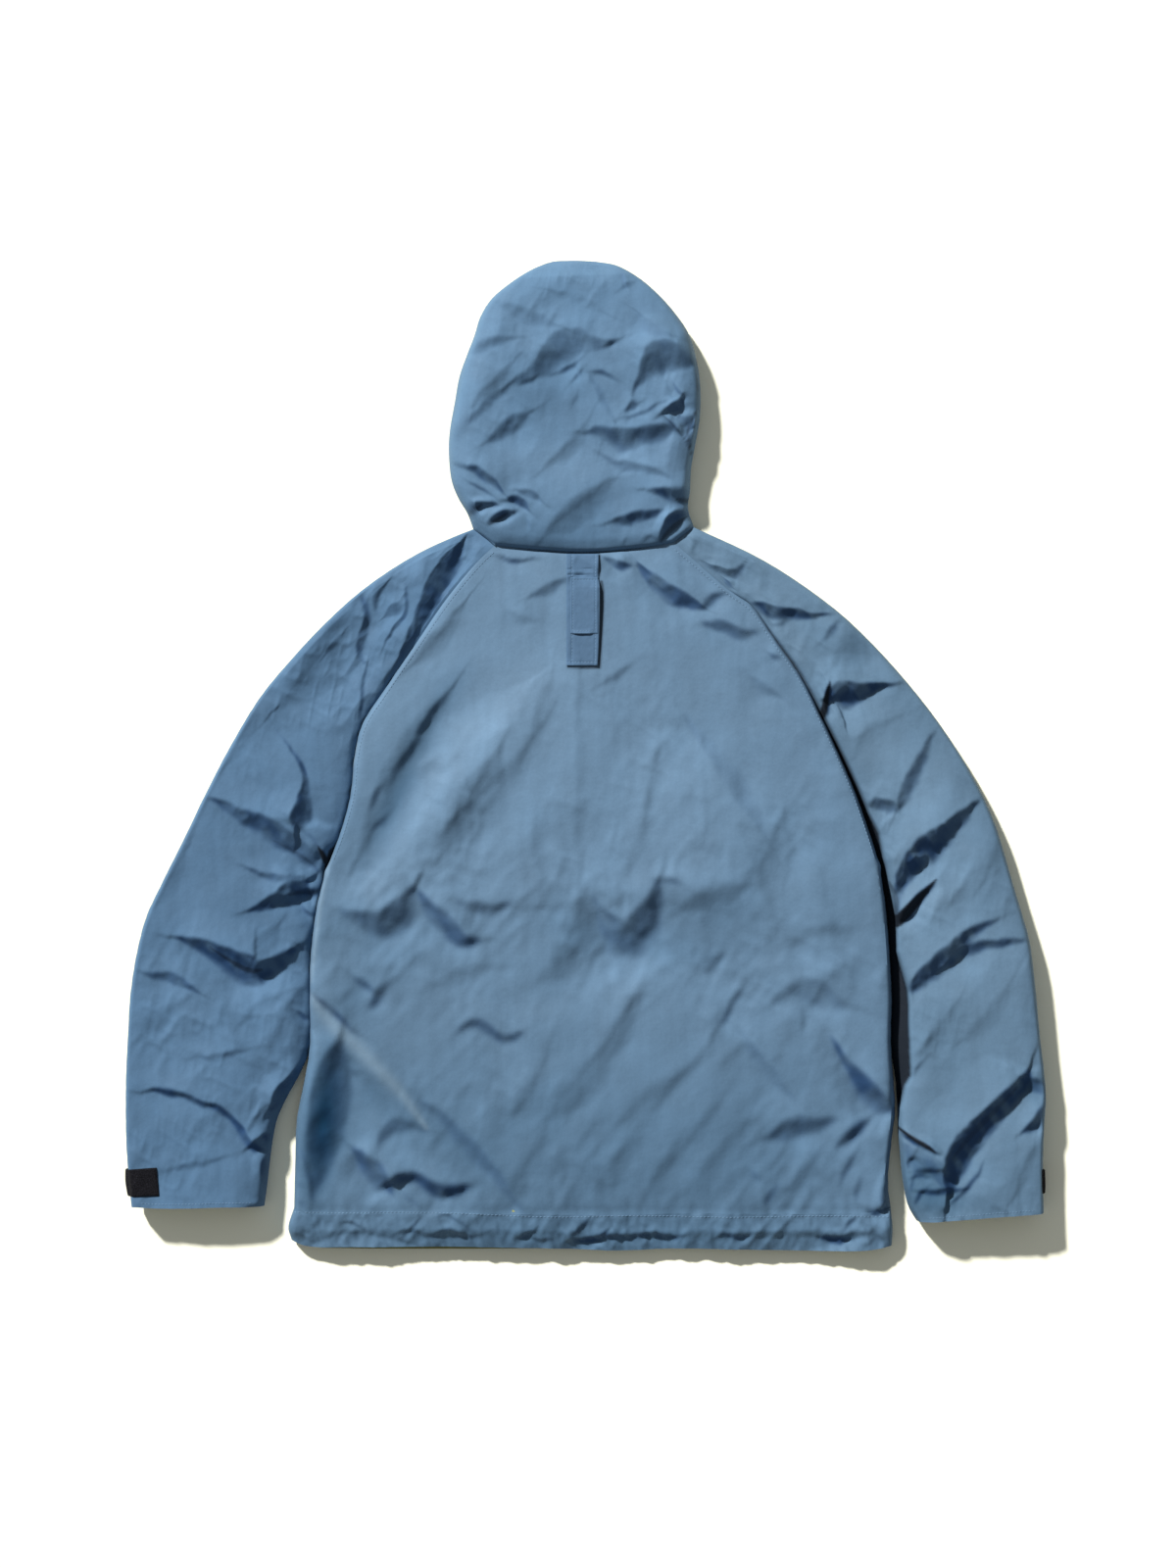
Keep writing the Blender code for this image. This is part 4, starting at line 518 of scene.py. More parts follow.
# Broad places made paler or deeper, as the photo's light and shade are.
# Columns: middle, half length, half width, turn, amount.
BODY_TONES = (
    ((432, 820), 80, 20, 62, 0.12), ((508, 725), 80, 30, 45, 0.17), ((560, 700), 60, 40, 0, 0.05),
    ((404, 820), 90, 15, 64, -0.34), ((450, 720), 50, 12, 56, -0.14),
    ((640, 590), 110, 34, 0, -0.07), ((395, 950), 90, 34, -8, -0.15),
    ((660, 962), 90, 22, -8, -0.16), ((331, 1140), 72, 17, 83, -0.42),
    ((365, 1140), 60, 20, 60, -0.08), ((770, 1180), 90, 60, 20, -0.06),
    ((460, 1160), 60, 26, -45, -0.1), ((665, 800), 90, 20, 90, 0.06),
    ((706, 855), 70, 22, 80, 0.06), ((378, 900), 50, 14, 25, 0.1), ((530, 890), 60, 20, 15, 0.05),
    ((560, 1030), 45, 16, 10, 0.09), ((640, 1010), 40, 16, 50, 0.1),
    ((540, 1095), 40, 14, 20, 0.08), ((470, 840), 60, 26, 60, -0.08),
    ((400, 790), 90, 18, 57, -0.12), ((770, 885), 60, 22, 60, -0.08),
    ((850, 900), 130, 40, 100, -0.05), ((720, 925), 60, 24, 0, -0.12),
    ((575, 960), 60, 28, 90, -0.08), ((370, 1010), 40, 26, 45, -0.14),
    ((332, 1140), 90, 24, 82, -0.2), ((390, 1120), 50, 24, -50, -0.1),
    ((600, 1200), 380, 160, 0, -0.23), ((600, 1262), 340, 16, 0, -0.12),
    ((730, 640), 80, 26, -40, -0.07), ((800, 700), 60, 20, -50, -0.05),
    ((345, 850), 130, 16, 78, -0.06), ((560, 1120), 50, 24, 40, -0.06),
)
LEFT_TONES = (
    ((330, 645), 70, 24, 52, -0.12), ((430, 620), 80, 20, 62, -0.12),
    ((300, 760), 60, 22, 60, 0.05), ((345, 780), 90, 26, 80, 0.08), ((270, 930), 60, 40, 20, -0.08),
    ((235, 900), 50, 14, 25, 0.08), ((180, 1180), 60, 60, 0, -0.08),
    ((245, 1010), 60, 14, 10, 0.06), ((150, 1000), 120, 20, 80, -0.06),
)
RIGHT_TONES = (
    ((800, 660), 40, 14, -40, 0.1), ((868, 660), 30, 24, 60, -0.1), ((900, 770), 60, 26, -50, 0.1),
    ((950, 800), 60, 20, 60, 0.08), ((960, 910), 60, 18, 30, 0.1), ((1010, 870), 60, 20, 70, -0.06),
    ((1010, 1010), 60, 30, 40, 0.06), ((950, 1070), 60, 30, 60, -0.06),
    ((1010, 1190), 60, 50, 0, -0.1), ((940, 1200), 30, 34, 0, -0.4), ((965, 1225), 40, 14, 0, -0.2),
    ((1050, 1110), 20, 14, -30, -0.3),
)
HOOD_TONES = (
    ((545, 400), 66, 44, 25, -0.16), ((500, 400), 60, 16, 60, 0.05), ((585, 295), 90, 34, 0, -0.1),
    ((600, 487), 110, 30, 0, 0.13), ((700, 470), 16, 60, 0, 0.05), ((480, 400), 60, 12, 80, 0.06),
    ((560, 470), 90, 16, 0, 0.1), ((610, 520), 60, 26, 35, -0.1), ((660, 470), 40, 10, -10, 0.06),
    ((580, 550), 110, 14, 0, -0.12), ((500, 500), 60, 30, -40, -0.05),
)


# --- lines and sheets, as the solids have them ----------------------------------------------------


def dense_line(rows, per_span=16):
    """Points close together on a smooth line through the rows, by centripetal Catmull-Rom spans."""
    p = np.array(rows, float)
    p = np.vstack([2 * p[0] - p[1], p, 2 * p[-1] - p[-2]])
    out = []
    for i in range(1, len(p) - 2):
        a, b, c, d = p[i - 1 : i + 3]
        knots = np.cumsum([0] + [math.sqrt(np.linalg.norm(q - r)) for q, r in ((b, a), (c, b), (d, c))])
        t = np.linspace(knots[1], knots[2], per_span, endpoint=False)[:, None]
        ab = (a * (knots[1] - t) + b * (t - knots[0])) / (knots[1] - knots[0])
        bc = (b * (knots[2] - t) + c * (t - knots[1])) / (knots[2] - knots[1])
        cd = (c * (knots[3] - t) + d * (t - knots[2])) / (knots[3] - knots[2])
        abc = (ab * (knots[2] - t) + bc * (t - knots[0])) / (knots[2] - knots[0])
        bcd = (bc * (knots[3] - t) + cd * (t - knots[1])) / (knots[3] - knots[1])
        out.append((abc * (knots[2] - t) + bcd * (t - knots[1])) / (knots[2] - knots[1]))
    return np.vstack(out + [p[-2:-1]])


def stations(rows, steps):
    """steps + 1 points evenly along the smooth line through the rows."""
    line = dense_line(rows)
    run = np.concatenate([[0], np.cumsum(np.linalg.norm(np.diff(line[:, :2], axis=0), axis=1))])
    where = np.linspace(0, run[-1], steps + 1)
    return np.column_stack([np.interp(where, run, line[:, k]) for k in range(3)])


def chain(*parts):
    """One edge from several that follow each other."""
    return np.vstack([parts[0]] + [p[1:] for p in parts[1:]])


def coons(top, bottom, left, right, t=None):
    """Points across a patch between four edges. t: each row's share of the way down left and right."""
    s = np.linspace(0, 1, len(top))[None, :, None]
    t = np.linspace(0, 1, len(left)) if t is None else t
    t = t[:, None, None]
    ruled = (1 - t) * top[None] + t * bottom[None] + (1 - s) * left[:, None] + s * right[:, None]
    corners = (1 - t) * ((1 - s) * top[0] + s * top[-1]) + t * ((1 - s) * bottom[0] + s * bottom[-1])
    return ruled - corners


def cut_corners(points, rounds):
    """The points' line with its corners cut, so that it bends but keeps straight stretches."""
    line = np.array(points, float)
    for _ in range(rounds):
        early, late = 0.75 * line[:-1] + 0.25 * line[1:], 0.25 * line[:-1] + 0.75 * line[1:]
        line = np.vstack([line[:1], np.stack([early, late], axis=1).reshape(-1, line.shape[1]), line[-1:]])
    return line


def follow(line, x, y):
    """Distance from each point to a line, the point's side of it, and half the line's width there."""
    near, side, half = np.full(x.shape, np.inf), np.zeros(x.shape), np.zeros(x.shape)
    for (ax, ay, a_width), (bx, by, b_width) in zip(line[:-1], line[1:]):
        dx, dy = bx - ax, by - ay
        share = np.clip(((x - ax) * dx + (y - ay) * dy) / (dx * dx + dy * dy + 1e-9), 0, 1)
        gap = np.hypot(x - ax - share * dx, y - ay - share * dy)
        closer = gap < near
        near = np.where(closer, gap, near)
        side = np.where(closer, dx * (y - ay) - dy * (x - ax), side)
        half = np.where(closer, (a_width + share * (b_width - a_width)) / 2, half)
    return near, side, half


def distance_to(rows, x, y):
    """Plan distance from each point to an edge."""
    every = max(1, len(rows) // 45)
    line = np.vstack([rows[::every, :2], rows[-1:, :2]])
    near = np.full(x.shape, np.inf)
    for (ax, ay), (bx, by) in zip(line[:-1], line[1:]):
        dx, dy = bx - ax, by - ay
        share = np.clip(((x - ax) * dx + (y - ay) * dy) / (dx * dx + dy * dy + 1e-9), 0, 1)
        near = np.minimum(near, np.hypot(x - ax - share * dx, y - ay - share * dy))
    return near


def rolled(distance, reach):
    """0 at an edge and 1 from reach inwards, on a quarter of an ellipse as a rolled edge is."""
    return np.sqrt(1 - (1 - np.clip(distance / reach, 0, 1)) ** 2)


def turned_up(distance, roll):
    """0 at an edge and 1 well inside. roll: share of the rise at the very edge, its reach, the other's."""
    share, steep, gentle = roll
    slow = np.sin(np.clip(distance / gentle, 0, 1) * math.pi / 2)
    return share * rolled(distance, steep) + (1 - share) * slow


def field(path):
    """Points counted in the field, each with a width, in the frame's table millimetres."""
    return [(px - FIELD_CENTRE[0], FIELD_CENTRE[1] - py, width) for px, py, width in path]


def around(path, rounds, reach, x, y):
    """The points within reach of a path's widest stretch, and what follow says of them."""
    line = cut_corners(field(path), rounds)
    pad = line[:, 2].max() / 2 + reach
    low, high = line[:, :2].min(axis=0) - pad, line[:, :2].max(axis=0) + pad
    inside = (x > low[0]) & (x < high[0]) & (y > low[1]) & (y < high[1])
    return (inside, *follow(line, x[inside], y[inside]))


def fold_relief(folds, x, y):
    """Height that the folds add, and how much painted shade each place gets on a fold's steep band.

    A fold breaks crisply at its crest, has a steep band below it and a soft foot, and rises gently to both.
    """
    total, crease_shade = np.zeros(x.shape), np.zeros(x.shape)
    x, y = x + layered(WARP_ACROSS, x, y), y + layered(WARP_ALONG, x, y)
    for path, steepness, reach, soft in folds:
        inside, away, side, half = around(path, 1 + round(2 * soft), reach, x, y)
        crest, foot = np.maximum(half, 0.4), FOOT * np.maximum(half, 0.4)
        upper = np.clip(away / crest, 0, 1)
        upper = (1 - soft) * upper + soft * np.sin(upper * math.pi / 2)
        band = np.where(side > 0, upper, -np.sin(np.clip(away / foot, 0, 1) * math.pi / 2))
        edge = np.where(side > 0, crest, foot)
        beyond = np.clip((away - edge) / reach, 0, 1)
        total[inside] += DEEPEST * np.tanh(steepness * crest / DEEPEST) * band * (1 - beyond) ** 1.3
        within = np.clip(1.3 - (away / edge) ** 2, 0, 1) * np.clip(half / 2, 0, 1)
        # Painted shade on a fold's steep band, deeper the steeper the band.
        crease_shade[inside] = np.maximum(crease_shade[inside], within * np.clip((steepness - 0.25) / 0.6, 0, 1))
    return total, crease_shade


def toned(places, x, y):
    """How much paler or deeper the cloth's colour is made at each point: painted light and shade."""
    total = np.zeros(x.shape)
    for (px, py), length, width, turn, amount in places:
        c, s = math.cos(math.radians(turn)), math.sin(math.radians(turn))
        right, up = x - (px - FIELD_CENTRE[0]), y - (FIELD_CENTRE[1] - py)
        along, across = right * c + up * s, up * c - right * s
        total += amount * np.exp(-((along / length) ** 2) - (across / width) ** 2)
    return total


def painted_pit_shadow(places, x, y):
    """How deep in a pit each place is, as a mask of painted shadow."""
    deep = np.zeros(x.shape)
    for path, strength in places:
        inside, away, _, half = around(path, 1, 3, x, y)
        deep[inside] = np.maximum(deep[inside], strength * np.clip((half + 0.9 - away) / 1.8, 0, 1))
    return deep


def rubbed_and_highlight_places(x, y):
    """How worn and how highlighted each place is, along the paler crests: wear and painted highlight."""
    painted_light_and_wear = np.zeros(x.shape)
    for path in RUBBED_AND_HIGHLIGHT:
        inside, away, _, half = around(path, 1, 4, x, y)
        painted_light_and_wear[inside] = np.maximum(painted_light_and_wear[inside], np.exp(-((away / half) ** 2)))
    return painted_light_and_wear


def noise(x, y, across, along, seed, turn=0.0):
    """Smooth noise from -1 to 1 in cells of the given size, turned by an angle in degrees."""
    cells = np.random.default_rng(seed).uniform(-1, 1, (256, 256))
    c, s = math.cos(math.radians(turn)), math.sin(math.radians(turn))
    u, v = (x * c + y * s) / across + 128, (y * c - x * s) / along + 128
    i, j = np.floor(u).astype(int), np.floor(v).astype(int)
    a, b = u - i, v - j
    a, b = a**3 * (a * (6 * a - 15) + 10), b**3 * (b * (6 * b - 15) + 10)
    i, j, k, m = i % 256, j % 256, (i + 1) % 256, (j + 1) % 256
    low = cells[i, j] * (1 - a) + cells[k, j] * a
    high = cells[i, m] * (1 - a) + cells[k, m] * a
    return low * (1 - b) + high * b


def layered(layers, x, y, seed=0):
    """Some layers of noise added up."""
    return sum(height * noise(x, y, *size, seed + more, turn) for height, *size, more, turn in layers)


def ridged(x, y, sharpness, across, along, seed, turn=0.0):
    """Crisp ridges of height 1 that fall off to both sides."""
    return 1 - sharpness * np.abs(noise(x, y, across, along, seed, turn))


def crinkle(x, y, seed, crisp):
    """The cloth's own unevenness: slow swells, crisp small creases, and streaks along its length."""
    crease = 0.0
    for k, (size, height, turn) in enumerate(CREASES):
        ridge = ridged(x, y, 2.4, size, size * 1.7, seed + 10 + k, turn)
        crease = crease + height * np.clip(ridge, -0.4, 1)
    where = np.clip(0.5 + 0.9 * noise(x, y, 70, 70, seed + 5), 0.1, 1)
    return layered(SWELLS, x, y, seed) + crisp * crease * where + layered(STREAKS, x, y, seed)


def smoothed(height, rounds=1):
    """The grid blurred a little, with its border as it was."""
    for _ in range(rounds):
        inside = (height[:-2] + 2 * height[1:-1] + height[2:]) / 4
        height = np.vstack([height[:1], inside, height[-1:]])
        inside = (height[:, :-2] + 2 * height[:, 1:-1] + height[:, 2:]) / 4
        height = np.hstack([height[:, :1], inside, height[:, -1:]])
    return height


def column(rows, at, k):
    """The k-th column of a table, read off at some places in its first column."""
    rows = sorted(rows)
    return np.interp(at, [r[0] for r in rows], [r[k] for r in rows])


def upper_sheet(edges, loft, rolls, looks, seed, t=None, extra=None, ditch=None, crisp=1.0):
    """Outer face of a sheet that rises from its edges to its loft, and its marks of painted light and
    shade.

    edges: top, bottom, left and right, with a roll or None for each. ditch: its edge's number, its table.
    """
    folds, tones, shadow_pits = looks
    grid = coons(*edges, t)
    x, y, rim = grid[..., 0], grid[..., 1], grid[..., 2]
    share = (np.linspace(0, 1, len(edges[2])) if t is None else t)[:, None]
    inward, calm, sunk_shadow = np.ones(x.shape), np.ones(x.shape), np.zeros(x.shape)
    lowest = np.full(x.shape, LOWEST)
    for k, (edge, roll) in enumerate(zip(edges, rolls)):
        if roll:
            away = distance_to(edge, x, y)
            if ditch is not None and k == ditch[0]:
                width = column(ditch[1], y, 1)
                bank = np.clip((width + DITCH_BANK - away) / DITCH_BANK, 0, 1)
                # The ditch sinks the sheet a little and gets painted shadow, standing for the shade that
                # the body's edge casts into it.
                sunk_shadow = np.clip(width / 2, 0, 1) * bank
                away = np.maximum(away - width, 0)
            beyond = 1 - rolled(np.maximum(away - LOWER_MARGIN, 0), LOWER_ROLL)
            lowest = np.maximum(lowest, (rim - CLOTH) * beyond + 2.2 * CLOTH)
            inward = inward * turned_up(away, roll)
            calm = calm * np.clip(away / CALM_EDGE, 0, 1)
    relief, crease_shade = fold_relief(folds, x, y)
    facets = 0.75 * ridged(x, y, 2.6, 11, 17, seed + 20, 35) + 0.4 * noise(x, y, 7, 11, seed + 21, 30)
    relief = relief + crinkle(x, y, seed, crisp) + crease_shade * facets
    if extra is not None:
        relief = relief + extra(x, y)
    crown = np.maximum(column(loft, share, 1) - rim, 0)
    height = smoothed(rim + crown * inward + relief * calm - DITCH_DEPTH * sunk_shadow)
    uneven = np.clip(0.82 + 0.7 * noise(x, y, 8, 15, seed + 30, 35), 0.35, 1)
    # Marks for the material: painted shade on the creases' steep bands, painted shadow in the ditch and the
    # pits, painted light and shade from the tone tables.
    marks = {
        "crease_shade": smoothed(crease_shade * calm * uneven),
        "sunk_shadow": np.maximum(sunk_shadow, painted_pit_shadow(shadow_pits, x, y)),
        "tone": toned(tones, x, y),
    }
    return np.dstack([x, y, np.maximum(height, np.minimum(lowest, rim))]), marks


def lower_sheet(top, bottom, left, right, rolls, seed):
    """Outer face of a sheet that falls from its edges to the surface, with shallow raised creases."""
    grid = coons(top, bottom, left, right)
    x, y = grid[..., 0], grid[..., 1]
    inward = np.ones(x.shape)
    for edge, reach in zip((top, bottom, left, right), rolls):
        if reach:
            inward = inward * rolled(distance_to(edge, x, y), reach)
    lifted = 1.1 * np.clip(ridged(x, y, 5, 46, 80, seed, 20), 0, 1) * np.clip(inward * 3 - 2, 0, 1)
    under_seam = np.maximum(grid[..., 2] - SEAM_GAP / 2 - 2 * CLOTH, 0)
    return np.dstack([x, y, under_seam * (1 - inward) + lifted])


# --- meshes ---------------------------------------------------------------------------------------


def new_object(name, points, faces, finishes, slots=None, smooth=True, sharp=50):
    """A mesh object from points in table millimetres."""
    mesh = bpy.data.meshes.new(name)
    moved = (np.array(points, float) + np.array([*FRAME_SHIFT, 0])) * MM
    mesh.from_pydata(moved.tolist(), [], faces)
    for finish in finishes:
        mesh.materials.append(finish)
    if slots is not None:
        mesh.polygons.foreach_set("material_index", np.array(slots, dtype=np.int32))
    if smooth:
        mesh.shade_smooth()
        mesh.set_sharp_from_angle(angle=math.radians(sharp))
    mesh.update()
    made = bpy.data.objects.new(name, mesh)
    bpy.context.scene.collection.objects.link(made)
    return made


def lowest_near(height, every):
    """Every so-many-th point of a grid, at the lowest height within that many steps of it."""
    rows, columns = height.shape
    padded = np.pad(height, every, mode="edge")
    low = height.copy()
    for i in range(2 * every + 1):
        for j in range(2 * every + 1):
            low = np.minimum(low, padded[i : i + rows, j : j + columns])
    return low[::every, ::every]


def between_grids(outer, inner, every=1):
    """A closed piece's points, and the faces of its outer grid, of the one behind it and of its rim."""
    count = outer.shape[0] * outer.shape[1]
    points = np.vstack([outer.reshape(-1, 3), inner.reshape(-1, 3)])
    a = np.arange(count).reshape(outer.shape[:2])
    b = np.arange(count, len(points)).reshape(inner.shape[:2])
    out = np.stack([a[:-1, :-1], a[1:, :-1], a[1:, 1:], a[:-1, 1:]], axis=-1).reshape(-1, 4)
    back = np.stack([b[:-1, :-1], b[:-1, 1:], b[1:, 1:], b[1:, :-1]], axis=-1).reshape(-1, 4)
    rims = []
    sides = (a[0], b[0]), (a[-1, ::-1], b[-1, ::-1]), (a[::-1, 0], b[::-1, 0]), (a[:, -1], b[:, -1])
    for line, other in sides:
        for k in range(len(other) - 1):
            rim = [*line[k * every : (k + 1) * every + 1], other[k + 1], other[k]]
            rims.append([int(v) for v in rim])
    return points, out.tolist(), back.tolist(), rims


def shell(name, outer, finishes, marks=None, inside_up=False, every=INNER_EVERY):
    """A closed thin shell: the outer face as given, a coarser inner one a cloth's thickness behind."""
    inner = outer[::every, ::every].copy()
    height = outer[..., 2]
    if inside_up:
        inner[..., 2] = -lowest_near(-height, every) + CLOTH
    else:
        edge = height[::every, ::every] - CLOTH
        inner[1:-1, 1:-1, 2] = lowest_near(height, every)[1:-1, 1:-1] - CLOTH
        for line in ((0, slice(None)), (-1, slice(None)), (slice(None), 0), (slice(None), -1)):
            inner[(*line, 2)] = edge[line]
        inner[..., 2] = np.maximum(inner[..., 2], LOWEST_INSIDE)
    points, *groups = between_grids(outer, inner, every)
    if inside_up:
        groups = [[face[::-1] for face in group] for group in groups]
    out, back, rims = groups
    hidden = np.ones((inner.shape[0] - 1, inner.shape[1] - 1), dtype=int)
    hidden[0], hidden[:, 0], hidden[:, -1] = 0, 0, 0
    slots = [0] * len(out) + hidden.ravel().tolist() + [0] * len(rims)
    made = new_object(name, points, out + back + rims, finishes, slots)
    for mark, values in (marks or {}).items():
        stored = np.zeros(len(points), dtype=np.float32)
        stored[: values.size] = values.reshape(-1)
        made.data.attributes.new(mark, "FLOAT", "POINT").data.foreach_set("value", stored)
    return made


def slab(name, outer, inner, finish, sharp=50):
    """A closed piece between two grids of points."""
    points, out, back, rims = between_grids(outer, inner)
    return new_object(name, points, out + back + rims, [finish], sharp=sharp)


def stitching(name, lines, over, length=3.0, gap=0.8, thick=0.32):
    """Stitches laid end to end along some lines, each a thread that dips into the cloth at both ends."""
    points, faces = [], []
    for line in lines:
        line = np.array(line, float)
        run = np.concatenate([[0], np.cumsum(np.linalg.norm(np.diff(line, axis=0), axis=1))])
        count = max(1, round(run[-1] / (length + gap)))
        for k in range(count):
            start, end = (run[-1] * (k + share) / count for share in (0, 1))
            where = start + gap / 2 + (end - start - gap) * np.array([r[0] for r in STITCH_RINGS])
            xs, ys = (np.interp(where, run, line[:, axis]) for axis in (0, 1))
            heights = [over(x, y) for x, y in zip(xs, ys)]
            if None in heights:
                continue
            away = np.array([xs[-1] - xs[0], ys[-1] - ys[0]])
            across = np.array([-away[1], away[0]]) / np.linalg.norm(away)
            base = len(points)
            for x, y, z, (_, width, rise) in zip(xs, ys, heights, STITCH_RINGS):
                for turn in range(STITCH_SIDES):
                    angle = 2 * math.pi * turn / STITCH_SIDES
                    out, up = width * thick * math.cos(angle), width * thick * math.sin(angle)
                    points.append((x + across[0] * out, y + across[1] * out, z + up + rise * thick))
            for ring in range(base, base + (len(STITCH_RINGS) - 1) * STITCH_SIDES, STITCH_SIDES):
                for turn in range(STITCH_SIDES):
                    a, b = ring + turn, ring + (turn + 1) % STITCH_SIDES
                    faces.append((a, a + STITCH_SIDES, b + STITCH_SIDES, b))
            faces.append(tuple(range(base, base + STITCH_SIDES)))
            faces.append(tuple(range(len(points) - 1, len(points) - 1 - STITCH_SIDES, -1)))
    return finish_piece(new_object(name, points, faces, [thread_blue]), [])


def finish_piece(piece, nodes):
    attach(piece, "root")
    if nodes:
        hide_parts(*nodes)
    return piece


def surface_of(*pieces):
    """Finds the highest or lowest face of some pieces over a point of the plan, in table millimetres."""
    trees = []
    for piece in pieces:
        points = [v.co.copy() for v in piece.data.vertices]
        trees.append(BVHTree.FromPolygons(points, [tuple(p.vertices) for p in piece.data.polygons]))

    def height(x, y, downwards=True):
        start, way = (0.2, -1) if downwards else (-0.2, 1)
        place = Vector(((x + FRAME_SHIFT[0]) * MM, (y + FRAME_SHIFT[1]) * MM, start))
        hits = [t.ray_cast(place, Vector((0, 0, way)))[0] for t in trees]
        found = [h.z / MM for h in hits if h is not None]
        if not found:
            return None
        return max(found) if downwards else min(found)

    return height


# --- finishes -------------------------------------------------------------------------------------


def shader_of(name, colour, roughness):
    made = bpy.data.materials.new(name)
    made.use_nodes = True
    tree = made.node_tree
    shader = tree.nodes["Principled BSDF"]
    shader.inputs["Base Color"].default_value = (*colour, 1)
    shader.inputs["Roughness"].default_value = roughness
    return made, tree, shader


def add(tree, kind, **values):
    node = tree.nodes.new(kind)
    for key, value in values.items():
        if key in node.inputs:
            node.inputs[key].default_value = value
        else:
            setattr(node, key, value)
    return node


def noise_node(tree, place, scale, detail=3.0, stretch=(1, 1, 1)):
    mapping = add(tree, "ShaderNodeMapping")
    mapping.inputs["Scale"].default_value = stretch
    tree.links.new(place, mapping.inputs["Vector"])
    node = add(tree, "ShaderNodeTexNoise", Scale=scale, Detail=detail)
    tree.links.new(mapping.outputs[0], node.inputs["Vector"])
    return node.outputs["Fac"]


def combined(tree, kind, first, second):
    node = add(tree, "ShaderNodeMath", operation=kind)
    for k, value in enumerate((first, second)):
        if isinstance(value, (int, float)):
            node.inputs[k].default_value = value
        else:
            tree.links.new(value, node.inputs[k])
    return node.outputs[0]


def ramp(tree, factor, stops):
    node = add(tree, "ShaderNodeValToRGB")
    for k, (place, colour) in enumerate(stops):
        element = node.color_ramp.elements[k] if k < 2 else node.color_ramp.elements.new(place)
        element.position = place
        element.color = (*colour, 1)
    tree.links.new(factor, node.inputs[0])
    return node.outputs[0]


def marked(tree, colour, mark, other, most):
    """The colour turned towards another where a mark on the mesh says so: painted shade in creases, painted
    shadow in pits, paler crests from wear and painted highlight.
    """
    place = add(tree, "ShaderNodeAttribute", attribute_name=mark)
    mix = add(tree, "ShaderNodeMix", data_type="RGBA")
    tree.links.new(combined(tree, "MULTIPLY", place.outputs["Fac"], most), mix.inputs[0])
    tree.links.new(colour, mix.inputs[6])
    mix.inputs[7].default_value = (*other, 1)
    return mix.outputs[2]


def woven(name, mid, roughness=0.76, sheen=0.02, thread=0.55, relief=0.05, painted_light_and_wear=False):
    """A crisp plain weave: threads both ways, mottled dye and faint streaks; with painted_light_and_wear,
    also painted light and shade, and crests paler from wear and painted highlight.
    """
    made, tree, shader = shader_of(name, mid, roughness)
    dark, light = (tuple(share * c for c in mid) for share in (1 - UNEVEN, 1 + UNEVEN))
    place = add(tree, "ShaderNodeTexCoord").outputs["Object"]
    mottle = noise_node(tree, place, 26, 5)
    streak = noise_node(tree, place, 60, 3, (1, 0.09, 1))
    fine = noise_node(tree, place, 420, 2)
    tone = combined(tree, "MULTIPLY", mottle, 0.5)
    tone = combined(tree, "ADD", tone, combined(tree, "MULTIPLY", streak, 0.3))
    tone = combined(tree, "ADD", tone, combined(tree, "MULTIPLY", fine, 0.2))
    colour = ramp(tree, tone, ((0.3, dark), (0.5, mid), (0.7, light)))
    # Painted light and shade from the tone mark, painted shade in creases, painted shadow in pits and
    # ditches, and crests paler from wear and painted highlight.
    if painted_light_and_wear:
        tone_mark = add(tree, "ShaderNodeAttribute", attribute_name="tone")
        painted_tone = add(tree, "ShaderNodeVectorMath", operation="MULTIPLY_ADD")
        tree.links.new(tone_mark.outputs["Fac"], painted_tone.inputs[0])
        painted_tone.inputs[1].default_value = PAINTED_TONE_WEIGHTS
        painted_tone.inputs[2].default_value = (1, 1, 1)
        recoloured = add(tree, "ShaderNodeVectorMath", operation="MULTIPLY")
        tree.links.new(painted_tone.outputs[0], recoloured.inputs[0])
        tree.links.new(colour, recoloured.inputs[1])
        colour = marked(tree, recoloured.outputs[0], "crease_shade", CREASE_SHADE_COLOUR, 0.85)
        colour = marked(tree, colour, "sunk_shadow", SUNK_SHADOW_COLOUR, 1.0)
        colour = marked(tree, colour, "rubbed_and_highlight", RUBBED_AND_HIGHLIGHT_COLOUR, 0.36)
    tree.links.new(colour, shader.inputs["Base Color"])
    rough = ramp(tree, mottle, ((0.3, (roughness - 0.06,) * 3), (0.7, (roughness + 0.06,) * 3)))
    tree.links.new(rough, shader.inputs["Roughness"])
    threads = []
    for direction in ("X", "Y"):
        wave = add(tree, "ShaderNodeTexWave", bands_direction=direction, wave_profile="SIN")
        wave.inputs["Scale"].default_value = 0.314 / (thread * MM)
        wave.inputs["Distortion"].default_value = 0.6
        tree.links.new(place, wave.inputs["Vector"])
        threads.append(wave.outputs["Fac"])
    weave = combined(tree, "MULTIPLY", combined(tree, "MULTIPLY", *threads), relief)
    crease = combined(tree, "MULTIPLY", noise_node(tree, place, 120, 6), 0.34)
    high = combined(tree, "ADD", weave, crease)
    bump = add(tree, "ShaderNodeBump", Distance=MM, Strength=1.0)
    tree.links.new(high, bump.inputs["Height"])
    tree.links.new(bump.outputs[0], shader.inputs["Normal"])
    shader.inputs["Sheen Weight"].default_value = sheen
    shader.inputs["Sheen Roughness"].default_value = 0.35
    shader.inputs["Sheen Tint"].default_value = (0.75, 0.85, 1, 1)
    shader.inputs["Specular IOR Level"].default_value = 0.22
    return made


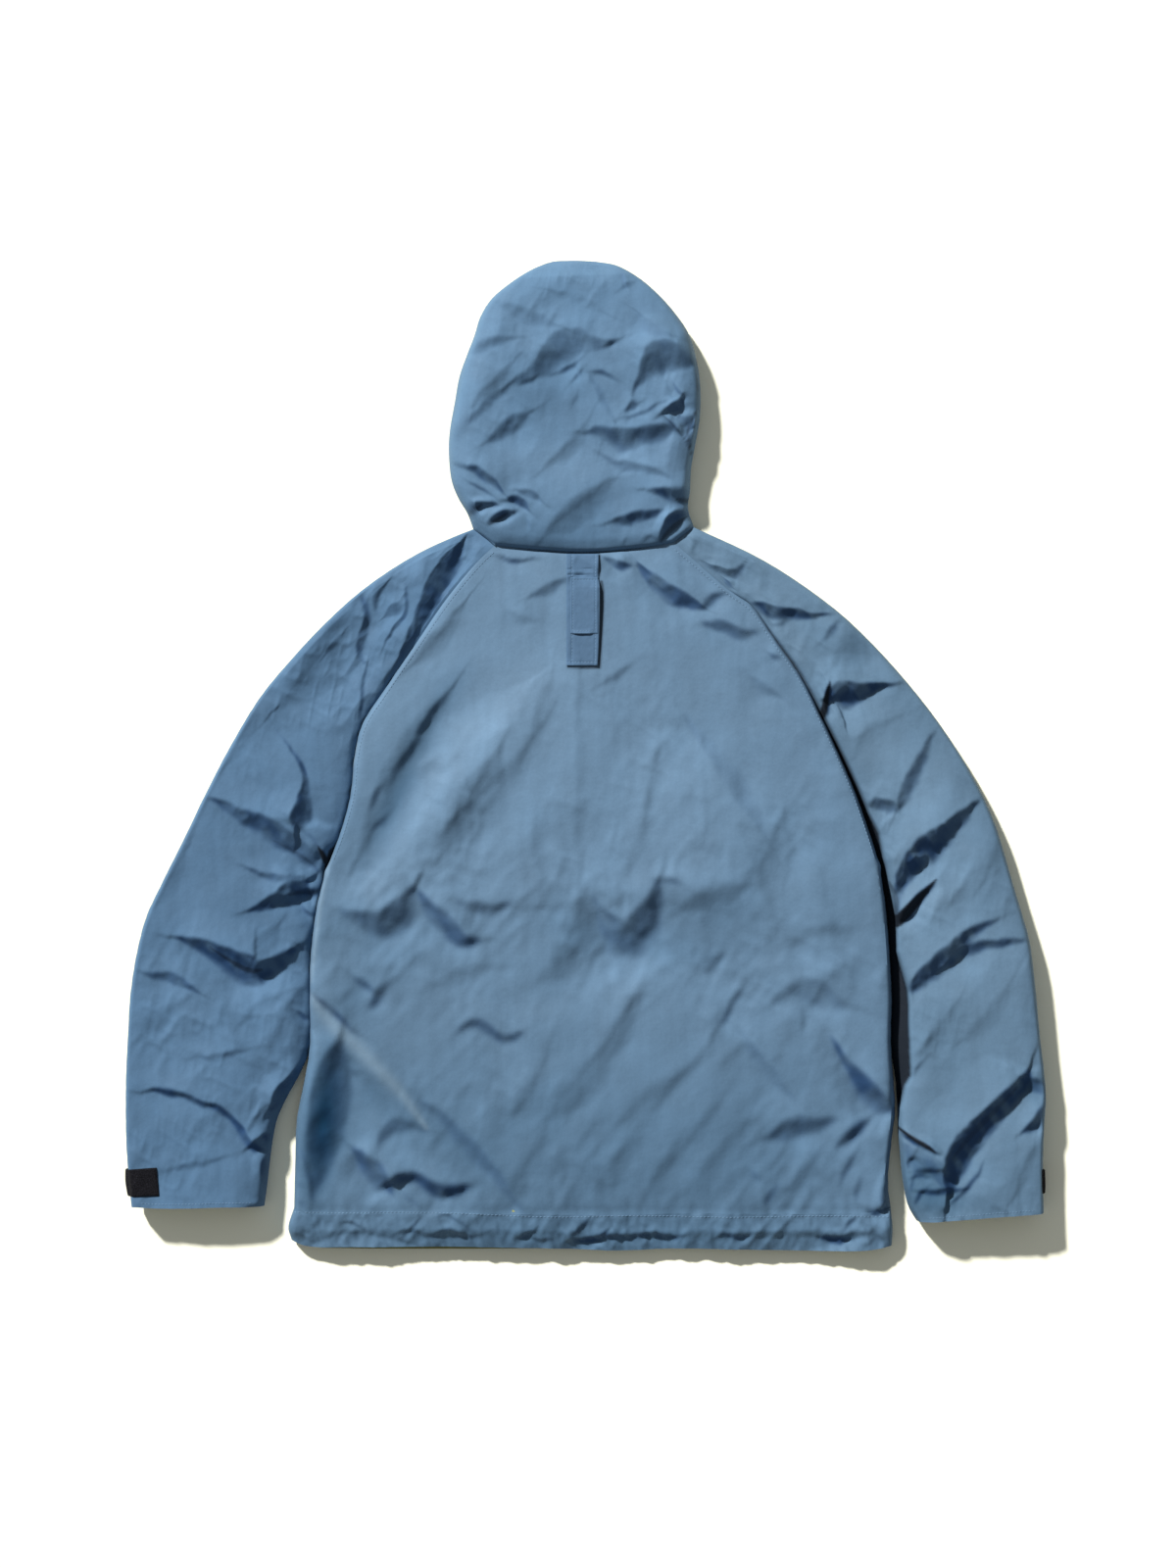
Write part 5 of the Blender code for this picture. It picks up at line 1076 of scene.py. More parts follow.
def looped(name):
    """Hook-and-loop tape: matt black with a tangle of loops."""
    made, tree, shader = shader_of(name, (0.006, 0.006, 0.008), 0.95)
    shader.inputs["Specular IOR Level"].default_value = 0.12
    place = add(tree, "ShaderNodeTexCoord").outputs["Object"]
    tangle = noise_node(tree, place, 900, 6)
    stops = ((0.35, (0.002, 0.002, 0.003)), (0.6, (0.008, 0.008, 0.011)), (0.75, (0.022, 0.021, 0.028)))
    colour = ramp(tree, tangle, stops)
    tree.links.new(colour, shader.inputs["Base Color"])
    bump = add(tree, "ShaderNodeBump", Distance=MM, Strength=0.9)
    tree.links.new(tangle, bump.inputs["Height"])
    tree.links.new(bump.outputs[0], shader.inputs["Normal"])
    return made


def painted(name, colour):
    """Moulded or enamelled blue, a little scuffed."""
    made, tree, shader = shader_of(name, colour, 0.4)
    place = add(tree, "ShaderNodeTexCoord").outputs["Object"]
    scuff = noise_node(tree, place, 300, 5)
    rough = ramp(tree, scuff, ((0.3, (0.32,) * 3), (0.7, (0.5,) * 3)))
    tree.links.new(rough, shader.inputs["Roughness"])
    dark, light = (tuple(share * c for c in colour) for share in (0.85, 1.3))
    recoloured = ramp(tree, scuff, ((0.4, dark), (0.62, colour), (0.78, light)))
    tree.links.new(recoloured, shader.inputs["Base Color"])
    return made


# Colours of the painted crease shade, the painted pit shadow and the crests paler from wear and painted
# highlight; the painted tone's weight on each channel.
CREASE_SHADE_COLOUR = (0.006, 0.034, 0.105)
SUNK_SHADOW_COLOUR = (0.003, 0.007, 0.014)
RUBBED_AND_HIGHLIGHT_COLOUR = (0.19, 0.27, 0.34)
PAINTED_TONE_WEIGHTS = (1.3, 1, 0.85)
UNEVEN = 0.14

shell_blue = woven("shell_cloth", (0.095, 0.168, 0.256), painted_light_and_wear=True)
# The sleeves' and the hood's copies of the shell cloth are darker than the body's: painted shade for the
# less light that falls on them.
shell_left_painted_shade = woven("shell_cloth_left_sleeve_painted_shade", (0.064, 0.13, 0.219), painted_light_and_wear=True)
shell_right_painted_shade = woven("shell_cloth_right_sleeve_painted_shade", (0.08, 0.144, 0.218), painted_light_and_wear=True)
shell_hood_painted_shade = woven("shell_cloth_hood_painted_shade", (0.084, 0.16, 0.256), painted_light_and_wear=True)
inside_green = woven("inner_face", (0.25, 0.25, 0.08))
tab_blue = woven("tab_cloth", (0.059, 0.116, 0.196))
thread_blue = woven("thread", (0.13, 0.22, 0.33), 0.5, 0.1, 0.3)
loop_black = looped("hook_and_loop")
zip_blue = woven("zip_tape", (0.06, 0.115, 0.19), 0.6, 0.1, 0.9, 0.15)
teeth_blue = painted("zip_teeth", (0.05, 0.1, 0.17))
metal_blue = painted("zip_metal", (0.07, 0.12, 0.19))

cloth = (shell_blue, inside_green)


# --- the garment ----------------------------------------------------------------------------------


def back_shares():
    """How far down its side each row of the back lies."""
    parts = [np.linspace(*BODY_MARKS[k : k + 2], steps + 1) for k, steps in enumerate(BACK_STEPS)]
    return np.concatenate([parts[0], parts[1][1:], parts[2][1:]])


def seam_chain(seams, steps):
    """One edge made of some seams end to end."""
    return chain(*(stations(rows, count) for rows, count in zip(seams, steps)))


def hem_gathers(x, y):
    """Puckers of the drawn hem: ripples in its casing, a groove along its cord, rays above its seam."""
    casing = np.clip((HEM_LINE - y) / 8, 0, 1)
    deep = np.clip(-0.1 + 1.5 * noise(x, y, 34, 400, 74), 0, 1)
    off_cord = y + 489 - 2.5 * noise(x, y, 24, 400, 75)
    groove = np.clip(off_cord / 4, -1, 1) * np.exp(-((off_cord / 9) ** 2)) * (0.15 + 1.5 * deep)
    zigzag = ridged(x, y, 3.2, 10, 17, 78, 35) + ridged(x, y, 3.2, 12, 15, 79, -38)
    low_down = 0.25 + 0.75 * np.exp(-(((y + 491) / 9) ** 2))
    groove = groove + np.clip(zigzag, -1.5, 2) * low_down * (0.5 + 0.6 * noise(x, y, 60, 400, 80))
    above = np.exp(-np.clip(y - HEM_LINE, 0, 200) / 13) * (1 - casing)
    stitched = -0.9 * np.exp(-(((y - HEM_LINE + 1.5) / 2.2) ** 2))
    return casing * (layered(HEM_RIPPLES, x, y) + groove) + above * layered(HEM_RAYS, x, y) + stitched


def back_details(x, y):
    """Slanting wrinkles of the lower back, and the hem's puckers."""
    wrinkles = 0.6 * ridged(x, y, 2.2, 14, 48, 81, -42) + 0.26 * ridged(x, y, 2.2, 8, 26, 82, -28)
    where = np.clip((-40 - y) / 150, 0, 1) * np.clip(0.5 + noise(x, y, 60, 75, 83), 0.1, 1)
    return where * wrinkles + hem_gathers(x, y)


def make_back():
    """The back and its hem casing: one run of rows, parted at the hem seam."""
    left = seam_chain((RAGLAN_LEFT, SIDE_LEFT, HEM_END_LEFT), BACK_STEPS)
    right = seam_chain((RAGLAN_RIGHT, SIDE_RIGHT, HEM_END_RIGHT), BACK_STEPS)
    shares = back_shares()
    hem_row = BACK_STEPS[0] + BACK_STEPS[1]
    rolls = ((0.75, 2, 9), None, (0.94, 3, 14), (0.93, 3, 16))
    looks = (BACK_FOLDS, BODY_TONES, BODY_PIT_SHADOWS)
    made = []
    for name, node, columns, rows in (
        ("back_cloth", "back_panel", BACK_COLUMNS, slice(0, hem_row + 1)),
        ("hem_back_cloth", "hem_casing_back", HEM_COLUMNS, slice(hem_row, None)),
    ):
        edges = stations(NECK_BACK, columns), stations(HEM_EDGE_BACK, columns), left[rows], right[rows]
        grid, marks = upper_sheet(edges, BACK_LOFT, rolls, looks, 3, shares[rows], back_details)
        marks["rubbed_and_highlight"] = rubbed_and_highlight_places(grid[..., 0], grid[..., 1])
        made.append(finish_piece(shell(name, grid, cloth, marks), [node]))
    return made


def front_raglan(rows):
    """The raglan seam of the fronts: on the surface at first, up to the back's edge at its low end."""
    made = []
    for i, (x, y, z) in enumerate(rows):
        lifted = max(0.0, (i / (len(rows) - 1) - 0.75) / 0.25)
        made.append((x, y, ON_SURFACE + (z - ON_SURFACE) * lifted))
    made[0] = (rows[0][0], rows[0][1], FRONT_NECK[0][2])
    return made


def front_neck(side):
    corner = RAGLAN_LEFT[0] if side < 0 else RAGLAN_RIGHT[0]
    inner = [(-side * x, y, z) for x, y, z in FRONT_NECK[1:]]
    return [(corner[0], corner[1], FRONT_NECK[0][2])] + inner


def make_front(side):
    """A front and its hem casing, from the side seam to the closed zip."""
    if side < 0:
        word, seams = "left", (front_raglan(RAGLAN_LEFT), SIDE_LEFT, HEM_END_LEFT)
    else:
        word, seams = "right", (front_raglan(RAGLAN_RIGHT), SIDE_RIGHT, HEM_END_RIGHT)
    outer = seam_chain(seams, FRONT_STEPS)
    top = stations(front_neck(side), LOWER_COLUMNS)
    corner = (side * ZIP_HALF_WIDTH, HEM_EDGE_FRONT[-1][1], ON_SURFACE)
    middle = [(-side * x, y, z) for x, y, z in HEM_EDGE_FRONT[1:-1]]
    bottom = stations([outer[-1], *middle, corner], LOWER_COLUMNS)
    hem_row = FRONT_STEPS[0] + FRONT_STEPS[1]
    at_hem = (top[-1][0], outer[hem_row][1] - 3, top[-1][2])
    inner = seam_chain(((top[-1], at_hem), (at_hem, bottom[-1])), (hem_row, FRONT_STEPS[2]))
    grid = lower_sheet(top, bottom, outer, inner, (None, None, 40, None), 31 + side)
    grid = grid if side < 0 else grid[:, ::-1]
    for name, rows, node in (
        (f"front_{word}_cloth", slice(0, hem_row + 1), f"front_{word}"),
        (f"hem_front_{word}_cloth", slice(hem_row, None), f"hem_casing_front_{word}"),
    ):
        piece = shell(name, grid[rows], cloth, inside_up=True, every=1)
        finish_piece(piece, [node])


def tucked(underarm, side):
    """The underarm seam, moved under the body's edge as far down as the sleeve touches the body."""
    made = []
    for x, y, z in underarm:
        share = min(1.0, max(0.0, (y - TUCK_END) / TUCK_FADE))
        made.append((x - side * TUCKED * share, y, z))
    return [underarm[0], *made[1:]]


def upper_steps(steps):
    """How many of a sleeve's steps run down its raglan seam, in whole faces of the inner side."""
    return round(steps * UNDERARM_FROM / INNER_EVERY) * INNER_EVERY


def make_sleeve(side):
    """A sleeve's back half and its front half."""
    if side < 0:
        word, finishes = "left", (shell_left_painted_shade, inside_green)
        raglan, underarm, outer_rows = RAGLAN_LEFT, UNDERARM_LEFT, SLEEVE_OUTER_LEFT
        cuff_back, cuff_front, loft = CUFF_BACK_LEFT, CUFF_FRONT_LEFT, SLEEVE_LEFT_LOFT
        looks, ditch = (SLEEVE_LEFT_FOLDS, LEFT_TONES, LEFT_PIT_SHADOWS), (3, DITCH_LEFT)
        rolls, lower_rolls = (NECK_ROLL, None, (0.92, 3, 20), (0.05, 3, 90)), (None, None, 44, 40)
    else:
        word, finishes = "right", (shell_right_painted_shade, inside_green)
        raglan, underarm, outer_rows = RAGLAN_RIGHT, UNDERARM_RIGHT, SLEEVE_OUTER_RIGHT
        cuff_back, cuff_front, loft = CUFF_BACK_RIGHT, CUFF_FRONT_RIGHT, SLEEVE_RIGHT_LOFT
        looks, ditch = (SLEEVE_RIGHT_FOLDS, RIGHT_TONES, RIGHT_PIT_SHADOWS), (2, DITCH_RIGHT)
        rolls, lower_rolls = (NECK_ROLL, None, (0.7, 4, 34), (0.7, 4, 22)), (None, None, 40, 44)

    def in_order(neck, cuff, outer, seam):
        return (neck, cuff, outer, seam) if side < 0 else (neck[::-1], cuff[::-1], seam, outer)

    def cuff_edge(x, y):
        turned = np.exp(-np.clip(y - cuff_back[0][1], 0, 99) / 9)
        return turned * (0.5 * noise(x, y, 7, 18, 91 + side) + 0.25 * noise(x, y, 3.5, 6, 93))

    upper = upper_steps(SLEEVE_STEPS)
    seam = seam_chain((raglan, tucked(underarm, side)), (upper, SLEEVE_STEPS - upper))
    neck = stations((outer_rows[0], raglan[0]), SLEEVE_COLUMNS)
    edges = in_order(neck, stations(cuff_back, SLEEVE_COLUMNS), stations(outer_rows, SLEEVE_STEPS), seam)
    grid, marks = upper_sheet(edges, loft, rolls, looks, 11 + side, extra=cuff_edge, ditch=ditch, crisp=1.2)
    back_half = shell(f"sleeve_{word}_cloth", grid, finishes, marks)
    finish_piece(back_half, [f"sleeve_{word}_back"])

    upper = upper_steps(LOWER_ROWS)
    seam = seam_chain((front_raglan(raglan), underarm), (upper, LOWER_ROWS - upper))
    neck = stations((outer_rows[0], (*raglan[0][:2], FRONT_NECK[0][2])), LOWER_COLUMNS)
    edges = in_order(neck, stations(cuff_front, LOWER_COLUMNS), stations(outer_rows, LOWER_ROWS), seam)
    grid = lower_sheet(*edges, lower_rolls, 41 + side)
    front_half = shell(f"sleeve_{word}_front_cloth", grid, finishes, inside_up=True, every=1)
    finish_piece(front_half, [f"sleeve_{word}_front"])
    return back_half, front_half


def make_hood():
    """The hood's back, and each side of it with the binding of the face opening."""
    left_end = SLEEVE_OUTER_LEFT[0], RAGLAN_LEFT[0]
    right_end = RAGLAN_RIGHT[0], SLEEVE_OUTER_RIGHT[0]
    neck_steps = HOOD_ENDS, HOOD_COLUMNS - 2 * HOOD_ENDS, HOOD_ENDS
    neck = seam_chain((left_end, NECK_BACK, right_end), neck_steps)
    crown = stations(HOOD_CROWN, HOOD_COLUMNS)
    left, right = stations(HOOD_LEFT, HOOD_STEPS), stations(HOOD_RIGHT, HOOD_STEPS)
    side_roll = (0.6, 4, 28)
    rolls = ((0.7, 5, 24), (0.45, 3, 15), side_roll, side_roll)
    looks = (HOOD_FOLDS, HOOD_TONES, HOOD_PIT_SHADOWS)
    grid, marks = upper_sheet((crown, neck, left, right), HOOD_LOFT, rolls, looks, 5, crisp=0.6)
    finishes = (shell_hood_painted_shade, inside_green)
    finish_piece(shell("hood_cloth", grid, finishes, marks), ["hood_back"])
    rows, columns, band = HOOD_SIDE_STEPS
    for side, word, outline, face_edge, end in (
        (-1, "left", HOOD_LEFT, FACE_LEFT, SLEEVE_OUTER_LEFT[0]),
        (1, "right", HOOD_RIGHT, FACE_RIGHT, SLEEVE_OUTER_RIGHT[0]),
    ):
        neckline = front_neck(side)
        bottom = seam_chain(((end, neckline[0]), neckline), (HOOD_ENDS, columns - HOOD_ENDS))
        outer, inner = stations([HOOD_CROWN[1], *outline], rows), stations(face_edge, rows)
        top = stations((outer[0], inner[0]), columns)
        grid = lower_sheet(top, bottom, outer, inner, (None, None, 36, None), 51 + side)
        for name, part, node in (
            (f"hood_side_{word}_cloth", grid[:, :-band], f"hood_side_{word}"),
            (f"hood_binding_{word}_cloth", grid[:, -band - 1 :], f"hood_binding_{word}"),
        ):
            part = part if side < 0 else part[:, ::-1]
            piece = shell(name, part, finishes, inside_up=True, every=1)
            finish_piece(piece, [node])


back, hem = make_back()
make_front(-1)
make_front(1)
sleeve_left, sleeve_left_front = make_sleeve(-1)
sleeve_right, sleeve_right_front = make_sleeve(1)
make_hood()


# --- sewn details ---------------------------------------------------------------------------------

# The tab: its place, its thickness, its side stitch lines and how far its end's stitch line is inset
TAB_LEFT, TAB_RIGHT, TAB_TOP, TAB_BOTTOM = -20.0, 13.2, 205.5, 91.5
TAB_THICK = 1.1
TAB_SEAMS = (-14.2, 9.6)
TAB_INSET = 3.5
# Columns: along, how far the strap's right-hand edge stands off the back, how far it bows outwards.
TAB_EDGE = (
    (205.5, 1.5, -0.3), (191, 1.7, -0.5), (185, 0.7, -0.8), (180, 0.3, -0.3), (177, 1.6, 0),
    (171, 4.1, 0.5), (156, 4.1, 0.6), (131, 2.9, 0.2), (111, 2.2, -0.4), (91.5, 1.8, -1.5),
)
# Columns: middle, half length, half width, depth.
TAB_WRINKLES = (
    ((-17, 189.6), 2.6, 0.9, 0.7), ((-17, 184), 3, 1, 1), ((-6, 183.8), 6.5, 0.9, 0.9),
    ((2, 190.2), 5, 1, 0.55), ((-14, 181.5), 2, 1.1, 0.6), ((4, 186), 5, 1.4, -0.5),
    ((-8, 187), 6, 1.4, -0.5),
)

# The patch: its place, its thickness, how far its loose end lifts and how far its stitch line is inset
PATCH_LEFT, PATCH_RIGHT, PATCH_TOP, PATCH_BOTTOM = -15.8, 12.0, 181.6, 124.0
PATCH_THICK = 0.9
PATCH_LIFT = 1.9
PATCH_INSET = 2.4

# The cuff straps: where each starts and ends at the sleeve's edge and at its far end on the back half,
# its reach over and under the sleeve, how far it bulges past the edge, and its steps over the sleeve
STRAPS = {
    "left": ((-420.8, -448.3), (-418.4, -447.2), 30.5, 13.0, 2.4, 26),
    "right": ((-421, -445.5), (-421, -445.5), 1.6, 14.0, 1.2, 5),
}
STRAP_ROWS = 30
STRAP_START = 0.6
STRAP_TURNS = (65, 45, 25, 0, -25, -45, -65)
STRAP_UNDER_STEPS = 9

# The zip's tape. Columns: the edge that a line of points is counted from, how far off, the rib's rise.
ZIP_RIBS = (
    (-1, 0, 0.1), (-1, 1, 0), (-1, 2, 0.1), (0, -6, 0), (0, -4.4, 0.25), (0, -3.4, 0), (0, 0, 0),
    (0, 3.4, 0), (0, 4.4, 0.25), (0, 6, 0), (1, -2, 0.1), (1, -1, 0), (1, 0, 0.1),
)
ZIP_ROWS = 60

# The zip's teeth: from one to the next, and a tooth's depth as a share of that
TOOTH_PITCH = 1.6
TOOTH_DEPTH = 0.86
# Rings of a tooth: height, how much smaller it is there. Corners: across, the way it shrinks, how far down.
TOOTH_RINGS = ((0.04, 0.25), (0.5, 0), (1.9, 0), (2.4, 0.25))
TOOTH_CORNERS = ((-0.9, 1, 0), (2.9, -1, 0), (2.9, -1, 1), (-0.9, 1, 1))


def grid_over(left, right, top, bottom, step):
    across = np.linspace(left, right, round((right - left) / step) + 1)
    along = np.linspace(top, bottom, round((top - bottom) / step) + 1)
    return np.meshgrid(across, along)


def bed_under(over, x, y, rounds):
    """The height of what lies below, bridged over its small dips."""
    below = np.array([over(a, b) for a, b in zip(x.ravel(), y.ravel())]).reshape(x.shape)
    return np.maximum(smoothed(below, rounds), below)


def border(x, y, left, right, top, bottom):
    """Distance to the nearest edge of a rectangle."""
    return np.minimum(np.minimum(x - left, right - x), np.minimum(top - y, y - bottom))


def rounded_slab(name, x, y, low, high, thick, finish):
    """A cloth strip with softly rounded edges."""
    columns, rows = np.arange(x.shape[1]), np.arange(x.shape[0])
    across = np.minimum(columns, columns[::-1])[None, :] * abs(x[0, 1] - x[0, 0])
    along = np.minimum(rows, rows[::-1])[:, None] * abs(y[1, 0] - y[0, 0])
    high = high - thick * 0.55 * (1 - rolled(np.minimum(across, along), 1.6))
    return slab(name, np.dstack([x, y, high]), np.dstack([x, y, low]), finish)


def make_tab(over):
    """The tab at the back of the neck, its right-hand edge and its end lifted a little."""
    x, y = grid_over(TAB_LEFT, TAB_RIGHT, TAB_TOP, TAB_BOTTOM, 0.8)
    to_right = (x - TAB_LEFT) / (TAB_RIGHT - TAB_LEFT)
    lifted_end = 1.1 * np.clip(1 - (y - TAB_BOTTOM) / 9, 0, 1) ** 2
    lift = np.maximum(column(TAB_EDGE, y, 1) * to_right**1.8, lifted_end)
    low = bed_under(over, x, y, 12) + 0.25 + lift
    relief = layered(TAB_CRINKLES, x, y)
    for line in TAB_SEAMS:
        relief = relief - 0.4 * np.exp(-(((x - line) / 0.9) ** 2)) * (1 + 0.4 * noise(x, y, 3, 3, 203))
    for (px, py), length, width, depth in TAB_WRINKLES:
        relief = relief - depth * np.exp(-(((x - px) / length) ** 4) - ((y - py) / width) ** 2)
    relief = relief - 0.3 * np.exp(-(((y - TAB_BOTTOM - TAB_INSET) / 0.8) ** 2))
    inset = border(x, y, TAB_LEFT, TAB_RIGHT, TAB_TOP, TAB_BOTTOM)
    high = low + TAB_THICK + relief * np.clip(inset / 1.5, 0, 1)
    low = np.minimum(low, high - 0.5)
    bowed = x + column(TAB_EDGE, y, 2) * to_right**3
    strap = rounded_slab("neck_tab_cloth", bowed, y, low, high, TAB_THICK, tab_blue)
    return finish_piece(strap, ["neck_tab"])


def make_patch(over):
    """The bare patch on the tab, its lower end loose."""
    x, y = grid_over(PATCH_LEFT, PATCH_RIGHT, PATCH_TOP, PATCH_BOTTOM, 0.7)
    loose = np.clip(1 - (y - PATCH_BOTTOM) / 5, 0, 1) ** 1.5 * np.exp(-(((x + 3.5) / 9.5) ** 6))
    low = bed_under(over, x, y, 8) + 0.06 + PATCH_LIFT * loose
    inset = border(x, y, PATCH_LEFT, PATCH_RIGHT, PATCH_TOP, PATCH_BOTTOM)
    groove = 0.3 * np.exp(-(((inset - PATCH_INSET) / 0.8) ** 2)) * (1 + 0.4 * noise(x, y, 3, 3, 213))
    relief = layered(PATCH_CRINKLES, x, y) - groove
    high = low + PATCH_THICK + relief * np.clip(inset / 1.2, 0, 1)
    low = np.minimum(low, high - 0.4)
    patch = rounded_slab("tab_patch_cloth", x, y, low, high, PATCH_THICK, tab_blue)
    return finish_piece(patch, ["tab_patch"])


def make_strap(side, over, under):
    """The hook-and-loop strap folded round the sleeve's outer edge."""
    word = "left" if side < 0 else "right"
    at_edge, at_far, reach_over, reach_under, turned, over_steps = STRAPS[word]
    line = dense_line(SLEEVE_OUTER_LEFT if side < 0 else SLEEVE_OUTER_RIGHT)
    run_over = STRAP_START + (reach_over - STRAP_START) * np.linspace(1, 0, over_steps) ** 1.3
    run_under = STRAP_START + (reach_under - STRAP_START) * np.linspace(0, 1, STRAP_UNDER_STEPS) ** 1.3
    inner, outer = [], []
    for share in np.linspace(0, 1, STRAP_ROWS):
        in_row, out_row = [], []
        from_end = min(share, 1 - share) * abs(at_edge[0] - at_edge[1])
        thick = STRAP_THICK * (0.5 + 0.5 * float(rolled(from_end, 1.2)))
        y_edge = at_edge[0] + share * (at_edge[1] - at_edge[0])
        y_far = at_far[0] + share * (at_far[1] - at_far[0])
        x_edge = float(np.interp(y_edge, line[::-1, 1], line[::-1, 0]))
        for inward in run_over:
            x, y = x_edge - side * inward, y_edge + (y_far - y_edge) * inward / reach_over
            z = over(x, y) + STRAP_GAP
            soft = 0.5 + 0.5 * float(rolled(reach_over - inward, 1.0))
            in_row.append((x, y, z))
            out_row.append((x, y, z + thick * soft))
        rim_top, rim_low = in_row[-1][2], under(x_edge - side * STRAP_START, y_edge, False) - STRAP_GAP
        middle, half = (rim_top + rim_low) / 2, (rim_top - rim_low) / 2
        bulge = turned * (0.55 + 0.45 * math.sin(math.pi * share))
        for turn in map(math.radians, STRAP_TURNS):
            reach, z = bulge * math.cos(turn), middle + half * math.sin(turn)
            lip = thick * math.cos(turn)
            in_row.append((x_edge + side * reach, y_edge, z))
            out_row.append((x_edge + side * (reach + lip), y_edge, z + thick * math.sin(turn)))
        for inward in run_under:
            x = x_edge - side * inward
            z = max(under(x, y_edge, False) - STRAP_GAP, STRAP_THICK + 0.05)
            in_row.append((x, y_edge, z))
            out_row.append((x, y_edge, z - thick))
        inner.append(in_row)
        outer.append(out_row)
    inner, outer = np.array(inner), np.array(outer)
    eased = smoothed(inner[..., 2], 3) - inner[..., 2]
    inner[..., 2] += eased
    outer[..., 2] += eased
    if side < 0:
        inner, outer = inner[:, ::-1], outer[:, ::-1]
    piece = slab(f"cuff_strap_{word}_tape", outer, inner, loop_black, sharp=60)
    finish_piece(piece, [f"cuff_strap_{word}"])


def make_zip():
    """The closed zip: a tape on each side, ribbed at its edge, and teeth that mesh along the middle."""
    half = ZIP_HALF_WIDTH - SEAM_GAP
    ribs = np.tile([rise for _, _, rise in ZIP_RIBS], (ZIP_ROWS, 1))
    columns = [edge * half + off for edge, off, _ in ZIP_RIBS]
    x, y = np.meshgrid(columns, np.linspace(ZIP_TOP, HEM_BOTTOM, ZIP_ROWS))
    tape = slab("front_zip_tape", np.dstack([x, y, 1.2 + ribs]), np.dstack([x, y, 0.5 - ribs]), zip_blue)
    finish_piece(tape, ["front_zip"])
    points, faces = [], []
    for k in range(int((ZIP_TOP - HEM_BOTTOM) / TOOTH_PITCH)):
        side = 1 if k % 2 else -1
        base = len(points)
        for z, tight in TOOTH_RINGS:
            for across, shrinks, down in TOOTH_CORNERS:
                y = ZIP_TOP - k * TOOTH_PITCH - tight / 2 - down * (TOOTH_PITCH * TOOTH_DEPTH - tight)
                points.append((side * (across + shrinks * tight), y, z))
        loops = [[base + 3, base + 2, base + 1, base], [base + 12, base + 13, base + 14, base + 15]]
        for ring in range(base, base + 12, 4):
            for corner in range(4):
                a, b = ring + corner, ring + (corner + 1) % 4
                loops.append([a, b, b + 4, a + 4])
        faces += [loop[::-side] for loop in loops]
    teeth = new_object("front_zip_teeth", points, faces, [teeth_blue], smooth=False)
    finish_piece(teeth, [])


def offset_line(rows, steps, away):
    """A line beside an edge, in plan."""
    line = stations(rows, steps)[:, :2]
    way = np.gradient(line, axis=0)
    way = way / np.linalg.norm(way, axis=1)[:, None]
    return line + away * np.column_stack([-way[:, 1], way[:, 0]])


def make_stitches():
    """The seams' stitches that show."""
    body = surface_of(back, hem)
    across = np.linspace(-298, 309, 200)
    hem_y = HEM_LINE - 2.8 - 4.6 * np.clip((across + 200) / 180, 0, 1) + 0.7 * np.sin(across / 31)
    stitching("hem_stitches", [np.column_stack([across, hem_y])], body)
    raglans = [offset_line(RAGLAN_LEFT, 80, 4.5)[1:-3], offset_line(RAGLAN_RIGHT, 80, -4.5)[1:-3]]
    stitching("raglan_stitches", raglans, body)
    end = TAB_BOTTOM + TAB_INSET
    tab_lines = [[(x, TAB_TOP - 1), (x, end)] for x in TAB_SEAMS]
    tab_lines.append([(TAB_LEFT + 2, end), (TAB_RIGHT - 2.2, end)])
    stitching("tab_stitches", tab_lines, surface_of(tab), 2.4, 0.9, 0.26)
    left, right = PATCH_LEFT + PATCH_INSET, PATCH_RIGHT - PATCH_INSET
    top, bottom = PATCH_TOP - PATCH_INSET, PATCH_BOTTOM + PATCH_INSET
    square = [(left, top), (right, top), (right, bottom), (left, bottom), (left, top)]
    stitching("patch_stitches", [square], surface_of(patch), 2.2, 0.8, 0.24)
    cuffs = ("left", sleeve_left, CUFF_BACK_LEFT), ("right", sleeve_right, CUFF_BACK_RIGHT)
    for word, sleeve, rows in cuffs:
        line = stations(rows, 60)[5:-5, :2] + (0, 4.5)
        stitching(f"cuff_{word}_stitches", [line], surface_of(sleeve), 2.6, 0.8, 0.26)


tab = make_tab(surface_of(back))
patch = make_patch(surface_of(tab))
make_strap(-1, surface_of(sleeve_left), surface_of(sleeve_left_front))
make_strap(1, surface_of(sleeve_right), surface_of(sleeve_right_front))
make_zip()
make_stitches()
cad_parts["zip_slider"].data.materials.clear()
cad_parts["zip_slider"].data.materials.append(metal_blue)

# --- stage ----------------------------------------------------------------------------------------

